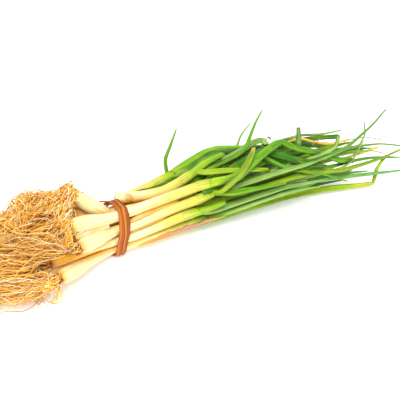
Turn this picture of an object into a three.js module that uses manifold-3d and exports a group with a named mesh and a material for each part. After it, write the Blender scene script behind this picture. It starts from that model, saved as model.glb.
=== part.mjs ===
// A bunch of spring onions lying on its side, tied once round the shafts with a strip of dried leaf.
// Millimetres. +X runs from the roots to the leaf tips, +Z is up, and the bunch rests on z = 0.
//
// Each plant is a white shaft, a beard of roots below it and a few hollow leaves above it. Shafts, leaves
// and roots are first laid out as chains of points that have a thickness. Settling then moves the chains
// apart until none touches another plant's, and each chain becomes a closed tube.

import * as THREE from "three";
import { mergeVertices } from "three/addons/utils/BufferGeometryUtils.js";
import Module from "manifold-3d";

const wasm = await Module();
wasm.setup();

// ---- Driving dimensions ----

const BULB_LENGTH = 46;
const BULB_SWELLING = 1.7; // how much wider a shaft is above its root plate than at the tie
const NECK_RADIUS = 4; // where the leaves part
const COLLAR_LENGTH = 15; // green top of the shaft, which the leaves grow out of
const COLLAR_TAPER = 0.86;
const SHAFT_SIDES = 8;
const SHAFT_STEP = 22; // the most shaft between two rings

const LEAF_SIDES = 5;
const LEAF_STEP = 30; // the most leaf between two rings
const LEAF_FLATNESS = 0.78; // a leaf's thickness over its width
const LEAF_PRESS = 0.2; // how deep a leaf that lies on the surface is pressed flat
const POINT_RADIUS = 0.7; // tip of a whole leaf
const TORN_SHARE = 0.75; // width of a torn or cut leaf end over the leaf's own
const TAPERING = 2.2; // how late a whole leaf narrows: 1 is evenly all along
const FOLDED_SHARE = 0.82; // width of the first leaf over the collar's, where it comes out of it
const FOLDED_STEP = 0.05; // how much less it is for each leaf further in
const LEAF_ROOTING = 1.5; // how deep in the collar the first leaf starts, and each other this much higher
const LEAF_TURN = 0.1; // each leaf of a plant is turned this much, in radians

const ROOTS_PER_PLANT = 10;
const ROOT_SIDES = 3;
const ROOT_RADIUS = 0.95;
const ROOT_TIP_RADIUS = 0.55;
const ROOT_STEPS = 3;
const PLATE_RADIUS = 4.6;
const PLATE_THICKNESS = 4;
const PLATE_TAPER = 0.25; // how much narrower the plate's two faces are than its middle
const BLUNTNESS = 0.5; // length of a tube's closing point over the tube's radius
const LONGEST_POINT = 0.3; // and the most it is, in millimetres

const GAP = 0.35; // between neighbouring pieces
const SMALLEST_GAP = 0.14; // what may be left of it where the bunch is tightest
const TIE_PLACE = -4;
const TIE_WIDTH = 5.2;
const TIE_THICKNESS = 1.3;
const TIE_FLAT = 0.4; // how much of its thickness is pressed flat on the surface
const TIE_LEAN = 0.1; // how far the tie's top stands towards the leaves, per mm of height
const TIE_ZONE = 8; // half the length of shaft that the tie holds
const TIE_CLEARANCE = TIE_THICKNESS - TIE_FLAT + GAP; // below the shafts
const BUNDLE_HEIGHT = 19.9; // middle of the tied bundle above the surface

const SIDE = new THREE.Vector3(0, 1, 0);
const UP = new THREE.Vector3(0, 0, 1);

// ---- The plants ----
// ring and turn place a shaft in the tied bundle: in the inner or the outer ring, and at an angle in degrees
// from +Y towards +Z. radius is the shaft's there. base is the middle of the root plate, and neck is where
// the leaves part. Between the tie and the neck a shaft may go via other points. Each leaf goes from the neck
// through its own points to its tip. wide is its full width, and a leaf that is torn ends blunt. The plant
// without a beard was cut off above its roots, and lies on top of the tied ones.

const RING_RADIUS = { inner: 5.9, outer: 14.5 };

const PLANTS = [
  {
    ring: "outer", turn: 92, radius: 4.0, base: [-38, 8, 56], neck: [60, -8, 39], beard: "drooping",
    leaves: [
      { wide: 9, torn: true, by: [
        [86, 4, 47], [108, 8, 53], [127, 12, 56], [142, 14, 60], [154, 13, 61], [151, 5, 57],
      ] },
      { wide: 8, torn: true, by: [
        [110, 2, 50], [144, 2, 54], [155, -4, 50], [167, -12, 45], [180, -18, 40], [196, -22, 35],
      ] },
      { wide: 5.5, by: [
        [100, 2, 48], [132, 4, 56], [141, -2, 52], [154, -14, 44], [167, -24, 40], [188, -30, 34],
        [215, -36, 23],
      ] },
    ],
  },
  {
    ring: "outer", turn: 125, radius: 3.9, base: [-46, -20, 40], neck: [64, -15, 38], beard: "fanned",
    leaves: [
      { wide: 7.5, torn: true, by: [
        [76, -20, 37], [96, -24, 40], [113, -20, 47], [136, -12, 53], [160, -4, 57], [176, -6, 50],
        [193, -10, 45], [210, -12, 39], [226, -16, 33], [241, -18, 31],
      ] },
    ],
  },
  {
    ring: "outer", turn: 157, radius: 3.8, base: [-51, -31, 31], neck: [60, -18, 34], beard: "level",
    leaves: [
      { wide: 10, torn: true, by: [[78, -17, 40], [94, -16, 43], [111, -15, 44]] },
      { wide: 7.5, by: [[100, -19, 38], [135, -20, 40], [156, -22, 41], [176, -22, 41], [200, -20, 41]] },
      { wide: 6, by: [[72, -23, 35], [90, -26, 37], [121, -28, 35], [144, -30, 34]] },
      { wide: 6, torn: true, by: [
        [79, -24, 40], [86, -26, 46], [96, -26, 52], [107, -22, 58], [116, -17, 62], [123, -12, 65],
      ] },
    ],
  },
  {
    ring: "outer", turn: 190, radius: 3.6, base: [-70, -31, 26], neck: [46, -19, 26], beard: "swept",
    leaves: [
      { wide: 7, by: [
        [71, -18, 23], [95, -20, 24], [122, -24, 27], [150, -25, 28], [178, -27, 27], [197, -28, 26],
      ] },
      { wide: 6.5, torn: true, by: [[66, -24, 28], [83, -27, 31]] },
    ],
  },
  {
    ring: "outer", turn: 223, radius: 3.6, base: [-63, -38, 14], neck: [54, -13, 14], beard: "swept",
    leaves: [
      { wide: 6, by: [
        [100, -12, 14], [166, -14, 18], [199, -16, 21], [231, -20, 19], [264, -26, 17], [301, -30, 14],
        [323, -32, 13],
      ] },
      { wide: 6.5, by: [[90, -17, 17], [125, -22, 21], [158, -26, 23], [188, -29, 21]] },
    ],
  },
  {
    ring: "outer", turn: 255, radius: 3.7, base: [-72, -16, 8], neck: [62, -6, 8], beard: "fanned",
    leaves: [
      { wide: 7, by: [
        [79, -5, 6], [108, -4, 6], [132, -2, 6], [160, 1, 6], [190, -4, 6], [224, -12, 6],
        [254, -20, 5], [270, -23, 5], [274, -22, 18], [290, -17, 25], [324, -11, 28],
      ] },
      { wide: 6.5, by: [[110, -2, 11], [160, 2, 10], [210, 3, 7], [250, 0, 5]] },
    ],
  },
  {
    ring: "outer", turn: 288, radius: 3.8, base: [-66, 2, 8], neck: [64, 4, 8], beard: "fanned",
    leaves: [
      { wide: 7, by: [[110, 11, 6], [160, 14, 4], [220, 16, 3], [285, 18, 3]] },
      { wide: 6, by: [[105, 6, 13], [150, 6, 14], [205, 2, 12], [262, -4, 8]] },
    ],
  },
  {
    ring: "outer", turn: 321, radius: 3.9, base: [-76, 18, 10], neck: [62, 15, 12], beard: "fanned",
    leaves: [
      { wide: 7, by: [[100, 25, 9], [150, 33, 5], [205, 41, 3], [262, 47, 3]] },
      { wide: 6.5, by: [[110, 18, 16], [165, 23, 16], [222, 27, 12], [276, 29, 9]] },
      { wide: 6.5, torn: true, by: [
        [105, 22, 23], [160, 19, 26], [215, 15, 27], [262, 11, 28], [290, 10, 26],
      ] },
    ],
  },
  {
    ring: "outer", turn: 354, radius: 3.9, base: [-64, 34, 16], neck: [56, 20, 20], beard: "fanned",
    leaves: [
      { wide: 7, by: [[98, 32, 20], [148, 42, 17], [200, 49, 13], [250, 52, 8]] },
      { wide: 6, torn: true, by: [[105, 27, 25], [155, 33, 24], [210, 36, 19], [270, 35, 13]] },
    ],
  },
  {
    ring: "outer", turn: 26, radius: 4.0, base: [-58, 34, 26], neck: [48, 18, 30], beard: "fanned",
    leaves: [
      { wide: 7, by: [[98, 33, 34], [148, 40, 34], [202, 41, 29], [262, 37, 20]] },
      { wide: 8, torn: true, by: [
        [78, 23, 37], [100, 25, 40], [135, 28, 43], [172, 27, 44], [208, 24, 43], [238, 24, 38],
        [262, 24, 33],
      ] },
      { wide: 4, by: [[57, 25, 45], [61, 28, 55], [66, 29, 65], [73, 30, 79]] },
      { wide: 3.8, by: [[90, 33, 44], [122, 36, 47], [139, 31, 53], [141, 29, 62], [151, 28, 73]] },
    ],
  },
  {
    ring: "outer", turn: 59, radius: 4.0, base: [-61, 15, 52], via: [[18, 14, 37.5], [31, 14, 40]],
    neck: [42, 14, 42.5], beard: "drooping",
    leaves: [
      { wide: 8, by: [
        [70, 18, 49.5], [83, 20, 53], [98, 22, 56.5], [112, 24, 57], [130, 26, 54], [151, 26, 51],
        [180, 22, 50],
      ] },
      { wide: 6.5, torn: true, by: [
        [62, 11, 45.5], [72, 10, 49], [85, 10, 53.5], [96, 11, 57], [110, 13, 56], [126, 15, 53],
        [164, 16, 50], [197, 12, 52], [222, 8, 52], [246, 6, 50],
      ] },
      { wide: 3.8, torn: true, by: [
        [130, 10, 47], [182, 10, 56], [195, 6, 57], [204, 0, 54], [219, -4, 50], [256, 0, 47],
      ] },
    ],
  },
  {
    ring: "inner", turn: 100, radius: 3.8, base: [-78, -6, 44], neck: [68, -4, 32], beard: "fanned",
    leaves: [
      { wide: 5.2, by: [
        [120, -8, 37], [165, -12, 38], [201, -14, 40], [222, -16, 46], [239, -17, 52], [252, -17, 58],
        [266, -17, 65], [283, -17, 77],
      ] },
      { wide: 4.6, torn: true, by: [
        [120, -12, 34], [170, -16, 35], [197, -18, 37], [211, -18, 42], [215, -18, 51], [217, -20, 62],
      ] },
    ],
  },
  {
    ring: "inner", turn: 190, radius: 3.7, base: [-82, -24, 20], neck: [62, -9, 23], beard: "fanned",
    leaves: [
      { wide: 5.5, by: [
        [100, -16, 28], [136, -20, 31], [165, -22, 33], [194, -24, 33], [221, -24, 29], [248, -22, 28],
        [280, -20, 28], [313, -18, 30],
      ] },
      { wide: 3.8, by: [
        [120, -14, 24], [180, -18, 28], [229, -20, 30], [237, -22, 35], [240, -24, 44], [247, -24, 53],
      ] },
      { wide: 4.2, by: [
        [130, -8, 26], [180, -11, 28], [222, -14, 30], [250, -14, 30], [278, -12, 27], [323, -12, 19],
        [340, -12, 17],
      ] },
    ],
  },
  {
    ring: "inner", turn: 280, radius: 3.7, base: [-86, -2, 20], neck: [60, 1, 16], beard: "fanned",
    leaves: [
      { wide: 6, by: [[115, 4, 18], [170, 4, 17], [230, 2, 13], [286, -2, 8]] },
      { wide: 7.5, torn: true, by: [[105, 8, 21], [145, 11, 23], [190, 12, 22], [240, 12, 18]] },
      { wide: 4.8, torn: true, by: [
        [130, -3, 25], [180, -5, 30], [223, -6, 33], [244, -6, 31], [268, -4, 31], [298, -2, 32],
      ] },
      { wide: 3.2, by: [
        [140, 2, 33], [200, -3, 38], [243, -6, 40], [264, -6, 42], [270, -6, 51], [267, -6, 64],
      ] },
    ],
  },
  {
    ring: "inner", turn: 10, radius: 3.8, base: [-67, 20, 28], neck: [64, 9, 29], beard: "fanned",
    leaves: [
      { wide: 6, by: [
        [120, 10, 34], [180, 8, 37], [249, 6, 36], [282, 6, 34], [314, 8, 30], [351, 10, 21],
        [377, 12, 14],
      ] },
      { wide: 8, torn: true, by: [[84, 15, 33], [112, 18, 35], [150, 19, 32], [195, 20, 29]] },
      { wide: 3.8, by: [
        [110, 16, 43], [150, 16, 50], [174, 13, 55], [201, 14, 56], [232, 16, 52], [262, 18, 51],
      ] },
      { wide: 5.2, torn: true, by: [
        [120, 6, 41], [160, 0, 46], [180, -3, 50], [182, -4, 58], [178, -6, 72],
      ] },
    ],
  },
  {
    ring: "above", radius: 4.5, base: [2.4, 5, 41.3], via: [[24, 3, 37], [42, -1, 38]],
    neck: [58, -1, 43],
    leaves: [
      { wide: 8, torn: true, by: [[80, 1, 53], [91, 2, 57], [103, 4, 59]] },
      { wide: 6, torn: true, by: [
        [78, -8, 49], [88, -12, 49.5], [104, -14, 48], [121, -16, 46], [138, -17, 42.5],
      ] },
      { wide: 5, by: [
        [80, -1, 46], [92, 0, 48], [104, 2, 49.5], [118, 3, 53], [127, 3, 60], [131, 3, 69], [136, 3, 80],
        [143, 3, 91],
      ] },
    ],
  },
];

// ---- Small helpers ----

// The same fractions between 0 and 1 at each build.
function seeded(seed) {
  let state = seed;
  return () => {
    state = (state * 16807) % 2147483647;
    return state / 2147483647;
  };
}

const point = ([x, y, z]) => new THREE.Vector3(x, y, z);

const between = (low, high, share) => low + (high - low) * share;

// ---- Laying out the chains ----
// A link is one point of a chain: where it is, where it belongs, and its thickness. Chains of the same group
// may touch, and neck and base links are shared by all the chains that meet there. A link with a carrier
// moves with it.

const FIRMNESS = 0.05; // how strongly a link is pulled home in each round
const TIED_FIRMNESS = 0.06;
const ROOT_FIRMNESS = 0.03;

const links = [];
const chains = [];

function addLink(position, radius, firmness, carrier) {
  const link = { at: position.clone(), home: position.clone(), radius, firmness };
  const nearTie = Math.abs(position.x - TIE_PLACE) < TIE_ZONE + TIE_WIDTH;
  link.lowest = radius + (nearTie ? TIE_CLEARANCE : 0);
  link.carrier = carrier ?? link;
  links.push(link);
  return link;
}

function addChain(kind, plant, group, chainLinks, extra = {}) {
  const chain = { kind, plant, group, links: chainLinks, ...extra };
  chains.push(chain);
  return chain;
}

// Points along a smooth curve through the given ones, which are all kept, none of them further apart than
// the step.
function through(points, step) {
  const curve = new THREE.CatmullRomCurve3(points, false, "centripetal");
  const found = [points[0]];
  for (let i = 0; i + 1 < points.length; i++) {
    const pieces = Math.ceil(points[i].distanceTo(points[i + 1]) / step);
    for (let k = 1; k <= pieces; k++) {
      found.push(curve.getPoint((i + k / pieces) / (points.length - 1)));
    }
  }
  return found;
}

// The shaft runs from the root plate through its place under the tie to the neck and on through the collar.
function layShaft(plant, name) {
  const neck = point(plant.neck);
  const path = [point(plant.base)];
  if (plant.ring !== "above") {
    const turn = THREE.MathUtils.degToRad(plant.turn);
    const reach = RING_RADIUS[plant.ring];
    const atTie = new THREE.Vector3(0, reach * Math.cos(turn), BUNDLE_HEIGHT + reach * Math.sin(turn));
    path.push(atTie.clone().setX(TIE_PLACE - TIE_ZONE), atTie.clone().setX(TIE_PLACE + TIE_ZONE));
  }
  path.push(...(plant.via ?? []).map(point), neck);
  const toLeaf = point(plant.leaves[0].by[0]).sub(neck).normalize();
  const ahead = neck.clone().sub(path.at(-2)).normalize().add(toLeaf).normalize();
  const made = through(path, SHAFT_STEP).map((at) => {
    const fromPlate = plant.beard ? Math.min(1, at.distanceTo(path[0]) / BULB_LENGTH) : 1;
    const tied = Math.abs(at.x - TIE_PLACE) < TIE_ZONE + 1;
    const radius = plant.radius + BULB_SWELLING * (1 - fromPlate * fromPlate);
    return addLink(at, radius, tied ? TIED_FIRMNESS : FIRMNESS);
  });
  made.at(-1).radius = NECK_RADIUS;
  const collarEnd = neck.clone().addScaledVector(ahead, COLLAR_LENGTH);
  return addChain("shaft", name, "shaft" + name, [...made, addLink(collarEnd, NECK_RADIUS, FIRMNESS)]);
}

// A leaf shares the neck and the collar's end with its shaft, and then follows its own points.
function layLeaf(leaf, name, shaft) {
  const [neck, collarEnd] = shaft.links.slice(-2);
  const path = through([collarEnd.at, ...leaf.by.map(point)], LEAF_STEP).slice(1);
  const half = leaf.wide / 2;
  const made = path.map((at, i) => {
    const share = (i + 1) / path.length;
    const taper = leaf.torn
      ? between(1, TORN_SHARE, share)
      : 1 - (1 - POINT_RADIUS / half) * Math.pow(share, TAPERING);
    const link = addLink(at, half * taper, FIRMNESS);
    link.lowest = half * taper * LEAF_FLATNESS - LEAF_PRESS;
    return link;
  });
  return addChain("leaf", name, "shaft" + name, [neck, collarEnd, ...made], { half });
}

// The roots leave the plate all round its rim. They run on away from the shaft as far as their beard's lead
// says, spread, and bend towards the way the beard hangs.
const BEARDS = {
  fanned: { length: 60, lead: 0.65, spread: 0.42, hang: [-0.4, 0.2, -0.42] },
  drooping: { length: 50, lead: 0.22, spread: 0.34, hang: [-0.3, -0.2, -0.8] },
  level: { length: 60, lead: 0.7, spread: 0.34, hang: [-0.35, 0.4, -0.15] },
  swept: { length: 58, lead: 0.75, spread: 0.26, hang: [-0.4, 0.35, -0.05] },
};
const STIFFNESS = 0.5; // how much of its way a root loses by bending off
const ROOT_CIRCLE = 0.45; // radius of the circle that the roots leave from, over the plate's
const TURN_SPREAD = 0.3; // how unevenly they stand round it
const LEAST_LEAN = 0.35; // lean of the straightest root over that of the widest
const SHORTEST_ROOT = 0.7; // lengths over the beard's own
const LONGEST_ROOT = 1.15;

function layRoots(plant, name, shaft, random) {
  const [base, next] = shaft.links;
  const away = base.at.clone().sub(next.at).normalize();
  const sideways = new THREE.Vector3().crossVectors(UP, away).normalize();
  const upwards = new THREE.Vector3().crossVectors(away, sideways);
  const beard = BEARDS[plant.beard];
  const hang = point(beard.hang);
  for (let i = 0; i < ROOTS_PER_PLANT; i++) {
    const turn = ((i + TURN_SPREAD * random()) / ROOTS_PER_PLANT) * 2 * Math.PI;
    const out = sideways.clone().multiplyScalar(Math.cos(turn)).addScaledVector(upwards, Math.sin(turn));
    const lean = beard.spread * between(LEAST_LEAN, 1, random());
    const length = beard.length * between(SHORTEST_ROOT, LONGEST_ROOT, random());
    const start = base.at
      .clone()
      .addScaledVector(away, PLATE_THICKNESS)
      .addScaledVector(out, PLATE_RADIUS * ROOT_CIRCLE);
    const made = [addLink(start, ROOT_RADIUS, 0, base)];
    for (let k = 1; k <= ROOT_STEPS; k++) {
      const share = k / ROOT_STEPS;
      const at = start
        .clone()
        .addScaledVector(away, length * beard.lead * share * (1 - STIFFNESS * share))
        .addScaledVector(out, length * lean * share)
        .addScaledVector(hang, length * share * share);
      at.z = Math.max(at.z, ROOT_RADIUS);
      made.push(addLink(at, between(ROOT_RADIUS, ROOT_TIP_RADIUS, share), ROOT_FIRMNESS));
    }
    addChain("root", name, "roots" + name, made);
  }
}

// ---- Settling ----

const SETTLING_ROUNDS = 1600;
const LOOSE_ROUNDS = 500; // the first rounds, in which the chains are pulled home
const TYING_ROUNDS = 1100; // the rounds in which the tie draws the shafts together
const SMOOTHING = 0.35; // how strongly a chain shares a push with the links beside it
const LATE_SMOOTHING = 0.06;
const PUSH = 1.3; // a little more than it takes to part two chains
const TINY = 1e-6; // nothing, to within rounding

// The shares along two stretches, each from its first point to its second, at which they come closest.
function closest(p1, q1, p2, q2) {
  const ux = q1.x - p1.x, uy = q1.y - p1.y, uz = q1.z - p1.z;
  const vx = q2.x - p2.x, vy = q2.y - p2.y, vz = q2.z - p2.z;
  const wx = p1.x - p2.x, wy = p1.y - p2.y, wz = p1.z - p2.z;
  const a = ux * ux + uy * uy + uz * uz;
  const b = ux * vx + uy * vy + uz * vz;
  const c = vx * vx + vy * vy + vz * vz;
  const d = ux * wx + uy * wy + uz * wz;
  const e = vx * wx + vy * wy + vz * wz;
  const bound = (value) => Math.min(1, Math.max(0, value));
  const slope = a * c - b * b;
  let s = slope > TINY * a * c ? bound((b * e - c * d) / slope) : 0.5;
  const t = bound((b * s + e) / c);
  s = bound((b * t - d) / a);
  return [s, t];
}

// All stretches between neighbouring links, except those that lie inside a shared neck.
function stretches() {
  const found = [];
  for (const chain of chains) {
    const first = chain.kind === "leaf" ? 1 : 0;
    for (let i = first; i + 1 < chain.links.length; i++) {
      found.push({ a: chain.links[i], b: chain.links[i + 1], chain, index: i });
    }
  }
  return found;
}

// Roots start on their own plant's root plate, so the first stretch of both is left out.
function mayTouch(one, two) {
  if (one.chain.group === two.chain.group) return true;
  return one.chain.plant === two.chain.plant && one.index === 0 && two.index === 0;
}

// Calls back for each pair of stretches of different groups that is closer than it may be.
function eachContact(all, react) {
  for (const s of all) {
    const reach = Math.max(s.a.radius, s.b.radius) + GAP;
    s.low = Math.min(s.a.at.x, s.b.at.x) - reach;
    s.high = Math.max(s.a.at.x, s.b.at.x) + reach;
    s.reach = reach;
  }
  all.sort((one, two) => one.low - two.low);
  for (let i = 0; i < all.length; i++) {
    const one = all[i];
    for (let j = i + 1; j < all.length && all[j].low < one.high; j++) {
      const two = all[j];
      const room = one.reach + two.reach;
      if (Math.min(one.a.at.y, one.b.at.y) - Math.max(two.a.at.y, two.b.at.y) > room) continue;
      if (Math.min(two.a.at.y, two.b.at.y) - Math.max(one.a.at.y, one.b.at.y) > room) continue;
      if (Math.min(one.a.at.z, one.b.at.z) - Math.max(two.a.at.z, two.b.at.z) > room) continue;
      if (Math.min(two.a.at.z, two.b.at.z) - Math.max(one.a.at.z, one.b.at.z) > room) continue;
      if (mayTouch(one, two)) continue;
      const [s, t] = closest(one.a.at, one.b.at, two.a.at, two.b.at);
      const apart = new THREE.Vector3()
        .lerpVectors(one.a.at, one.b.at, s)
        .sub(new THREE.Vector3().lerpVectors(two.a.at, two.b.at, t));
      const need = between(one.a.radius, one.b.radius, s) + between(two.a.radius, two.b.radius, t) + GAP;
      if (apart.length() < need) react(one, two, s, t, apart, need);
    }
  }
}

function settle() {
  const all = stretches();
  const pushOf = new Map(links.map((link) => [link, { by: new THREE.Vector3(), times: 0 }]));
  for (let round = 0; round < SETTLING_ROUNDS; round++) {
    const loose = round < LOOSE_ROUNDS;
    for (const link of links) {
      const tied = link.firmness === TIED_FIRMNESS && round < TYING_ROUNDS;
      if (loose || tied) link.at.lerp(link.home, link.firmness);
    }
    // A chain bends smoothly away from where it belongs, and keeps the kinks that it was given.
    for (const chain of chains) {
      const off = chain.links.map((link) => link.at.clone().sub(link.home));
      const strength = loose ? SMOOTHING : LATE_SMOOTHING;
      for (let i = 1; i + 1 < chain.links.length; i++) {
        const mean = off[i - 1].clone().add(off[i + 1]).multiplyScalar(0.5);
        chain.links[i].at.addScaledVector(mean.sub(off[i]), strength);
      }
    }
    for (const push of pushOf.values()) {
      push.by.set(0, 0, 0);
      push.times = 0;
    }
    let contacts = 0;
    eachContact(all, (one, two, s, t, apart, need) => {
      contacts++;
      const distance = apart.length();
      const way = distance > TINY ? apart.divideScalar(distance) : UP.clone();
      const amount = (need - distance) * 0.5;
      const shares = [[one.a, 1 - s], [one.b, s], [two.a, -(1 - t)], [two.b, -t]];
      for (const [link, share] of shares) {
        const push = pushOf.get(link.carrier);
        push.by.addScaledVector(way, amount * share * PUSH);
        push.times += Math.abs(share);
      }
    });
    for (const [link, push] of pushOf) {
      if (push.times > 0) link.at.addScaledVector(push.by, 1 / Math.max(1, push.times));
      link.at.z = Math.max(link.at.z, link.lowest);
    }
    for (const link of links) {
      if (link.carrier !== link) link.at.copy(link.home).sub(link.carrier.home).add(link.carrier.at);
    }
    if (round > TYING_ROUNDS && contacts === 0) break;
  }
  // A root that is still pinched between its neighbours has broken off.
  eachContact(all, (one, two, s, t, apart, need) => {
    if (one.chain.broken || two.chain.broken || need - apart.length() < GAP - SMALLEST_GAP) return;
    const root = [one.chain, two.chain].find((chain) => chain.kind === "root");
    if (!root) throw new Error("plants " + one.chain.plant + " and " + two.chain.plant + " have not settled");
    root.broken = true;
  });
}

// ---- Solids ----

function toSolid(geometry) {
  const bare = geometry.clone();
  bare.deleteAttribute("normal");
  bare.deleteAttribute("uv");
  const merged = mergeVertices(bare, 1e-4);
  return new wasm.Manifold(
    new wasm.Mesh({
      numProp: 3,
      vertProperties: merged.attributes.position.array,
      triVerts: new Uint32Array(merged.index.array),
    }),
  );
}

function toGeometry(solid) {
  const made = solid.getMesh();
  return new THREE.BufferGeometry()
    .setAttribute("position", new THREE.BufferAttribute(Float32Array.from(made.vertProperties), 3))
    .setIndex(new THREE.BufferAttribute(Uint32Array.from(made.triVerts), 1));
}

// A tube through rings of { at, radius }, as thick as flatness says, turned by an angle, and closed by a blunt
// point at each end. It is a cylinder whose rows of vertices are moved onto the rings, and pressed flat where
// it meets the surface.
function tube(rings, sides, flatness = 1, turned = 0) {
  const geometry = new THREE.CylinderGeometry(1, 1, 1, sides, rings.length - 1);
  const last = rings.length - 1;
  const frames = [];
  let side = null;
  rings.forEach((ring, i) => {
    const before = rings[Math.max(0, i - 1)].at;
    const after = rings[Math.min(last, i + 1)].at;
    const ahead = after.clone().sub(before).normalize();
    side = side ? side.clone() : SIDE.clone();
    side.addScaledVector(ahead, -side.dot(ahead)).normalize();
    frames.push({ ahead, side, up: new THREE.Vector3().crossVectors(ahead, side) });
  });
  const position = geometry.getAttribute("position");
  const local = new THREE.Vector3();
  for (let i = 0; i < position.count; i++) {
    local.fromBufferAttribute(position, i);
    const row = Math.round((local.y + 0.5) * last);
    const { ahead, side: across, up } = frames[row];
    const { at, radius } = rings[row];
    const inCap = Math.hypot(local.x, local.z) < 0.5;
    const angle = Math.atan2(local.z, local.x) + turned;
    const reach = inCap ? 0 : radius;
    const moved = at
      .clone()
      .addScaledVector(across, -Math.cos(angle) * reach)
      .addScaledVector(up, Math.sin(angle) * reach * flatness);
    if (inCap) moved.addScaledVector(ahead, (row === 0 ? -1 : 1) * Math.min(LONGEST_POINT, radius * BLUNTNESS));
    position.setXYZ(i, moved.x, moved.y, Math.max(0, moved.z));
  }
  return toSolid(geometry);
}

const unite = (solids) => wasm.Manifold.union(solids);

// The stretch of a shaft from the root plate to the neck.
function shaftSolid(shaft, rooted) {
  const below = shaft.links.slice(0, -1);
  const rings = below.map((link) => ({ at: link.at.clone(), radius: link.radius }));
  if (rooted) rings[0].radius = PLATE_RADIUS;
  return tube(rings, SHAFT_SIDES);
}

// The leaves of a plant with the collar they come out of. Between the shaft's point and the collar's there
// is room for both and a gap.
function leavesSolid(shaft, leaves) {
  const [neck, collarEnd] = shaft.links.slice(-2);
  const before = shaft.links.at(-3);
  const ahead = collarEnd.at.clone().sub(neck.at).normalize();
  const lead = neck.at.clone().sub(before.at).normalize();
  const start = neck.at.clone().addScaledVector(lead.add(ahead).normalize(), 2 * LONGEST_POINT + 2 * GAP);
  const collar = tube(
    [
      { at: start, radius: neck.radius },
      { at: collarEnd.at, radius: collarEnd.radius * COLLAR_TAPER },
    ],
    SHAFT_SIDES,
  );
  const blades = leaves.map((leaf, i) => {
    const folded = Math.min(leaf.half, neck.radius * (FOLDED_SHARE - FOLDED_STEP * i));
    const [parting, ...free] = leaf.links.slice(1);
    const rings = [
      { at: start.clone().addScaledVector(ahead, LEAF_ROOTING * (i + 1)), radius: folded },
      { at: parting.at, radius: folded },
      ...free,
    ];
    return tube(rings, LEAF_SIDES, LEAF_FLATNESS, LEAF_TURN * i);
  });
  return unite([collar, ...blades]);
}

// The roots of a plant with the plate they grow out of, which stands a gap off the shaft's point.
function rootsSolid(roots, base, away) {
  const middle = base.at.clone().addScaledVector(away, PLATE_THICKNESS / 2 + LONGEST_POINT + GAP);
  const plate = tube(
    [-1, 0, 1].map((side) => ({
      at: middle.clone().addScaledVector(away, (side * PLATE_THICKNESS) / 2),
      radius: PLATE_RADIUS * (1 - PLATE_TAPER * Math.abs(side)),
    })),
    SHAFT_SIDES,
  );
  const strands = roots.filter((root) => !root.broken).map((root) => {
    const inPlate = middle.clone().lerp(root.links[0].at, 0.5);
    return tube([{ at: inPlate, radius: ROOT_RADIUS }, ...root.links], ROOT_SIDES);
  });
  return unite([plate, ...strands]);
}

// ---- The tie ----
// A flat strip drawn tight round the outside of all the shafts. Seen along the bundle it follows the
// outermost shafts and runs straight between them.

const TIE_CORNERS = 72;
const HELD_STEP = 0.05; // how finely a stretch of shaft is felt for its outside, as a share of it

function tieSolid(shafts) {
  const held = [];
  for (const shaft of shafts) {
    for (let i = 0; i + 1 < shaft.links.length; i++) {
      const a = shaft.links[i];
      const b = shaft.links[i + 1];
      for (let share = 0; share <= 1; share += HELD_STEP) {
        const at = a.at.clone().lerp(b.at, share);
        const radius = between(a.radius, b.radius, share);
        if (Math.abs(at.x - TIE_PLACE) < TIE_ZONE) held.push({ at, radius });
      }
    }
  }
  const outline = (reach) => {
    const corners = [];
    for (let i = 0; i < TIE_CORNERS; i++) {
      const turn = (i / TIE_CORNERS) * 2 * Math.PI;
      const way = new THREE.Vector2(Math.cos(turn), Math.sin(turn));
      let best = null;
      for (const { at, radius } of held) {
        const support = at.y * way.x + at.z * way.y + radius;
        if (!best || support > best.support) best = { support, at, radius };
      }
      const out = best.radius + reach;
      corners.push(new THREE.Vector2(best.at.y + way.x * out, best.at.z + way.y * out));
    }
    return corners;
  };
  const band = new THREE.Shape(outline(GAP + TIE_THICKNESS));
  band.holes.push(new THREE.Path(outline(GAP)));
  const geometry = new THREE.ExtrudeGeometry(band, { depth: TIE_WIDTH, bevelEnabled: false });
  const position = geometry.getAttribute("position");
  for (let i = 0; i < position.count; i++) {
    const y = position.getX(i);
    const z = Math.max(0, position.getY(i));
    const x = TIE_PLACE + position.getZ(i) - TIE_WIDTH / 2;
    position.setXYZ(i, x + TIE_LEAN * (z - BUNDLE_HEIGHT), y, z);
  }
  return toSolid(geometry);
}

// ---- Building the bunch ----

const plants = PLANTS.map((plant, i) => {
  const name = String(i + 1).padStart(2, "0");
  const shaft = layShaft(plant, name);
  const leaves = plant.leaves.map((leaf) => layLeaf(leaf, name, shaft));
  return { plant, name, shaft, leaves };
});
const random = seeded(3107); // any whole number gives other beards
for (const made of plants.filter(({ plant }) => plant.beard)) {
  const firstChain = chains.length;
  layRoots(made.plant, made.name, made.shaft, random);
  made.roots = chains.slice(firstChain);
}

settle();

const bunch = new THREE.Group();
const FINISHES = {
  shaft: { color: 0xf3ecc4, roughness: 0.42 },
  leaves: { color: 0x6fb52c, roughness: 0.45 },
  roots: { color: 0xd9a45c, roughness: 0.8 },
  tie: { color: 0x9a5b22, roughness: 0.75 },
};

function place(name, kind, solid) {
  const mesh = new THREE.Mesh(toGeometry(solid), new THREE.MeshStandardMaterial(FINISHES[kind]));
  mesh.name = name;
  bunch.add(mesh);
}

for (const { name, shaft, leaves, roots } of plants) {
  const [base, next] = shaft.links;
  const away = base.at.clone().sub(next.at).normalize();
  place("shaft_" + name, "shaft", shaftSolid(shaft, Boolean(roots)));
  place("leaves_" + name, "leaves", leavesSolid(shaft, leaves));
  if (roots) place("roots_" + name, "roots", rootsSolid(roots, base, away));
}
place("tie", "tie", tieSolid(plants.filter(({ plant }) => plant.beard).map(({ shaft }) => shaft)));

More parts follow.
